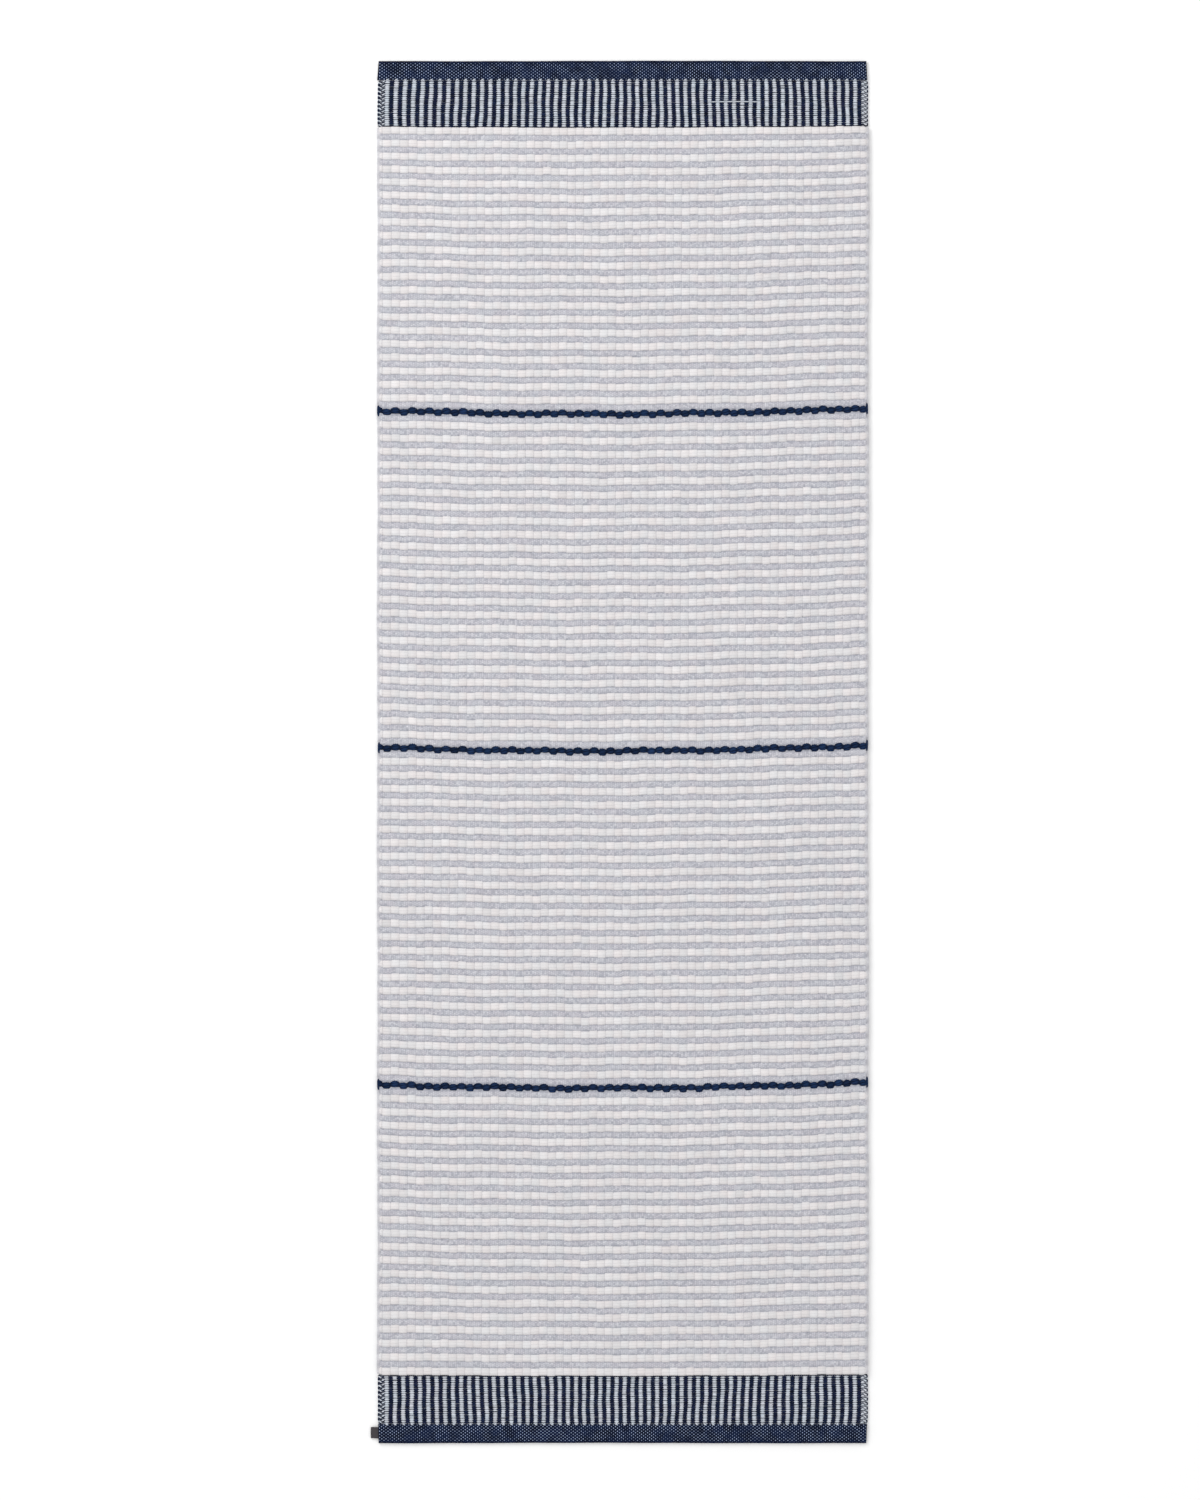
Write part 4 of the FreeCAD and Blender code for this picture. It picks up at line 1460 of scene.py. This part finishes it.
# --------------------------------------------------------------------------------------------------
# The label
# --------------------------------------------------------------------------------------------------


@dataclass
class Label:
    """The ribbon folded in two and caught in the foot hem, free to bend beside it."""

    thickness: float = 0.26 * MM
    droop: float = 0.5 * MM
    belly: float = 0.25 * MM
    places: int = 15

    def __post_init__(self) -> None:
        """Reads the ribbon's place from the frame."""
        tail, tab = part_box("label_tail"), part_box("label_tab")
        self.inside, self.outside = tail[1][0], tab[0][0]
        self.low_y, self.high_y = tab[0][1], tab[1][1]
        self.low_z, self.high_z = tab[0][2], tab[1][2]
        self.bend_from = tail[0][0]
        self.bend_to = tab[1][0]

    @property
    def cut_length(self) -> float:
        """The ribbon's length before it is folded in two."""
        return 2 * (self.inside - self.outside)

    def fold(self) -> bpy.types.Object:
        """Makes the folded ribbon, one closed strip that goes out, round the fold and back.

        Returns:
            The ribbon.
        """
        radius = (self.high_z - self.low_z) / 2 - self.thickness / 2
        straight = np.linspace(self.inside, self.outside + radius + self.thickness / 2, self.places)
        bend = np.linspace(math.pi / 2, -math.pi / 2, 9)[1:-1]
        path_x = np.concatenate([straight, straight[-1] - radius * np.cos(bend), straight[::-1]])
        normal_x = np.pad(-np.cos(bend), self.places) * self.thickness / 2
        side = np.pad(np.sin(bend), self.places, constant_values=(1.0, -1.0))
        path_z, normal_z = (self.low_z + self.high_z) / 2 + radius * side, side * self.thickness / 2
        x = np.concatenate([path_x + normal_x, (path_x - normal_x)[::-1], path_x[:1] + normal_x[:1]])[:, None]
        z = np.concatenate([path_z + normal_z, (path_z - normal_z)[::-1], path_z[:1] + normal_z[:1]])[:, None]
        beyond = np.clip((self.bend_to - x) / (self.bend_to - self.outside), 0, 1)
        wave = self.belly * np.sin(np.linspace(0, 2.2 * math.pi, self.places))
        selvedge = 0.06 * MM * (1 - closed_ends(self.places))
        place_x = x - self.belly * np.sin(np.linspace(0, math.pi, self.places)) * beyond
        y = np.linspace(self.low_y, self.high_y, self.places)
        place_z = z + (wave - self.droop) * beyond**1.5 + selvedge
        along, around = x / self.inside * 10, np.linspace(0, 1, self.places)
        return cloth_piece("label_ribbon", (place_x, y, place_z), along, None, around)


# --------------------------------------------------------------------------------------------------
# Studio
# --------------------------------------------------------------------------------------------------


@dataclass(frozen=True)
class Studio:
    """A plain pale floor, soft light and a camera that looks straight down."""

    floor_size: float = 40.0
    floor_drop: float = 0.4 * MM
    camera_height: float = 7.0
    view_height: float = 2.6031
    aside: float = -39.0 * MM
    along: float = 3.5 * MM
    sensor: float = 24.0
    sky: float = 0.92
    key: float = 135.0

    def floor(self) -> None:
        """Lays the floor just under the rug."""
        slab = bmesh.new()
        bmesh.ops.create_grid(slab, x_segments=1, y_segments=1, size=self.floor_size / 2)
        mesh = bpy.data.meshes.new("floor")
        slab.to_mesh(mesh)
        slab.free()
        mesh.transform(Matrix.Translation((0, 0, -self.floor_drop)))
        plane = bpy.data.objects.new("floor", mesh)
        bpy.context.scene.collection.objects.link(plane)
        material = bpy.data.materials.new("Pale floor")
        material.use_nodes = True
        shader = material.node_tree.nodes["Principled BSDF"]
        shader.inputs["Base Color"].default_value = srgb(250, 250, 250)
        shader.inputs["Roughness"].default_value = 0.9
        shader.inputs["Specular IOR Level"].default_value = 0.1
        mesh.materials.append(material)

    def lights(self) -> None:
        """Sets an even white sky and one large soft lamp over the head end."""
        world = bpy.data.worlds.new("Studio sky")
        world.use_nodes = True
        world.node_tree.nodes["Background"].inputs["Color"].default_value = (1, 1, 1, 1)
        world.node_tree.nodes["Background"].inputs["Strength"].default_value = self.sky
        bpy.context.scene.world = world
        lamp = bpy.data.lights.new("Soft lamp", "AREA")
        lamp.shape, lamp.size, lamp.energy = "SQUARE", 3.0, self.key
        holder = bpy.data.objects.new("Soft lamp", lamp)
        holder.location = Vector((-3.4, 3.2, 4.2))
        holder.rotation_euler = (-holder.location).to_track_quat("-Z", "Y").to_euler()
        bpy.context.scene.collection.objects.link(holder)

    def camera(self) -> None:
        """Hangs the camera over the rug, with the head end at the top of its picture."""
        eye = bpy.data.cameras.new("Overhead camera")
        eye.sensor_fit, eye.sensor_height = "VERTICAL", self.sensor
        eye.lens = self.sensor * (self.camera_height - 8 * MM) / self.view_height
        eye.clip_end = 100.0
        holder = bpy.data.objects.new("Overhead camera", eye)
        holder.location = (self.aside, self.along, self.camera_height)
        bpy.context.scene.collection.objects.link(holder)
        bpy.context.scene.camera = holder


# --------------------------------------------------------------------------------------------------
# The whole rug
# --------------------------------------------------------------------------------------------------


@dataclass
class Rug:
    """Builds every piece in order and ties each one it makes, but the label's ribbon, to the rug's body."""

    body: str = "rug"
    label_body: str = "label"
    seed: int = 7

    def __post_init__(self) -> None:
        """Sets out the warp and the lay from the frame's boxes."""
        low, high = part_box("accent_line_2")
        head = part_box("head_hem_cloth")[1][1]
        warp = Warp(half_width=(high[0] - low[0]) / 2)
        self.loom = (warp, Lay(warp.half_width, head), np.random.default_rng(self.seed))
        self.groups = Groups()
        self.materials: dict[str, bpy.types.Material] = {}

    def dress(self, piece: bpy.types.Object, finish: FinishBase) -> None:
        """Gives a piece its finish, in place of any that it has.

        Args:
            piece: the piece.
            finish: the finish that it gets.
        """
        if finish.name not in self.materials:
            self.materials[finish.name] = finish.make(self.groups)
        if piece.material_slots:
            for slot in piece.material_slots:
                slot.material = self.materials[finish.name]
        else:
            piece.data.materials.append(self.materials[finish.name])

    def hand_in(self, piece: bpy.types.Object, finish: FinishBase, slot: str, *nodes: str) -> None:
        """Dresses a piece, ties it to the rug's body and hides the frame's nodes that it stands for.

        Args:
            piece: the new piece.
            finish: its finish.
            slot: the name of a material slot; not used.
            nodes: the frame's nodes that it replaces.
        """
        self.dress(piece, finish)
        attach(piece, self.body)
        if nodes:
            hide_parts(*nodes)
        LOG.info("%s: %d faces", piece.name, len(piece.data.polygons))

    def weave_fields(self) -> None:
        """Weaves the four fields, their selvedges and the three lines."""
        for number in (1, 2, 3, 4):
            part = Field(*self.loom, number)
            rows = part.weave_rows()
            self.hand_in(rows, WHITE_WOOL, "white_wool", f"field_{number}_thick_weft")
            ground, length = part.weave_ground()
            self.hand_in(ground, GREY_WOOL, "grey_wool", f"field_{number}_fine_weft")
        for side in Side:
            self.hand_in(FieldSelvedge(*self.loom, side).weave(), SELVEDGE_WOOL, "white_wool")
        for number in (1, 2, 3):
            line = AccentLine(*self.loom, number)
            self.hand_in(line.weave(), NAVY_WOOL, "navy_wool", f"accent_line_{number}")
            for side in Side:
                self.hand_in(line.turn(side), NAVY_WOOL, "navy_wool")

    def weave_borders(self) -> None:
        """Weaves both striped borders."""
        finishes = {Shade.DARK: (BORDER_DARK, "navy_wool"), Shade.LIGHT: (BORDER_LIGHT, "light_wool")}
        for end in End:
            border = Border(*self.loom, end)
            for shade, (finish, slot) in finishes.items():
                self.hand_in(border.weave(shade), finish, slot, f"{end.prefix}_border_{shade.value}_weft")
                self.hand_in(border.turn(shade), finish, slot)
            self.hand_in(border.crests(), BORDER_LIGHT, "light_wool")
            if end is End.HEAD:
                self.hand_in(border.stray_float(), BORDER_LIGHT, "light_wool")

    def sew_hems(self) -> None:
        """Folds and sews both hems."""
        for end in End:
            hem = Hem(*self.loom, end)
            cloth, length = hem.fold()
            self.hand_in(cloth, HEM_CLOTH, "hem_wool", f"{end.prefix}_hem_cloth")
            self.hand_in(hem.stitches(), SEWING, "sewing_thread", f"{end.prefix}_hem_stitches")
            self.hand_in(hem.side_stitches(), SEWING, "sewing_thread", f"{end.prefix}_hem_side_stitches")

    def sew_label(self) -> None:
        """Adds the ribbon, which bends where it leaves the hem."""
        label = Label()
        ribbon = label.fold()
        self.dress(ribbon, RIBBON)
        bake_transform(ribbon)
        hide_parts("label_tail", "label_tab")
        LOG.info("%s: %d faces", ribbon.name, len(ribbon.data.polygons))

    def dress_warp(self, nodes: dict[str, bpy.types.Object]) -> None:
        """Gives the frame's warp threads their finish, darkened with painted shade; they stay inside the cloth.

        Args:
            nodes: the frame's nodes.
        """
        for name in ("warp_threads", "left_selvedge_threads", "right_selvedge_threads"):
            self.dress(nodes[name], COTTON_IN_PAINTED_SHADE)
            LOG.info("%s: dressed", name)


def main() -> None:
    """Builds the studio and the rug."""
    logging.basicConfig(level=logging.INFO, format="%(name)s: %(message)s")
    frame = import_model()
    bpy.context.scene.view_settings.view_transform = "Standard"
    studio = Studio()
    studio.camera()
    studio.floor()
    studio.lights()
    rug = Rug()
    rug.weave_fields()
    rug.weave_borders()
    rug.sew_hems()
    rug.sew_label()
    rug.dress_warp(frame["nodes"])


if __name__ == "__main__":
    main()
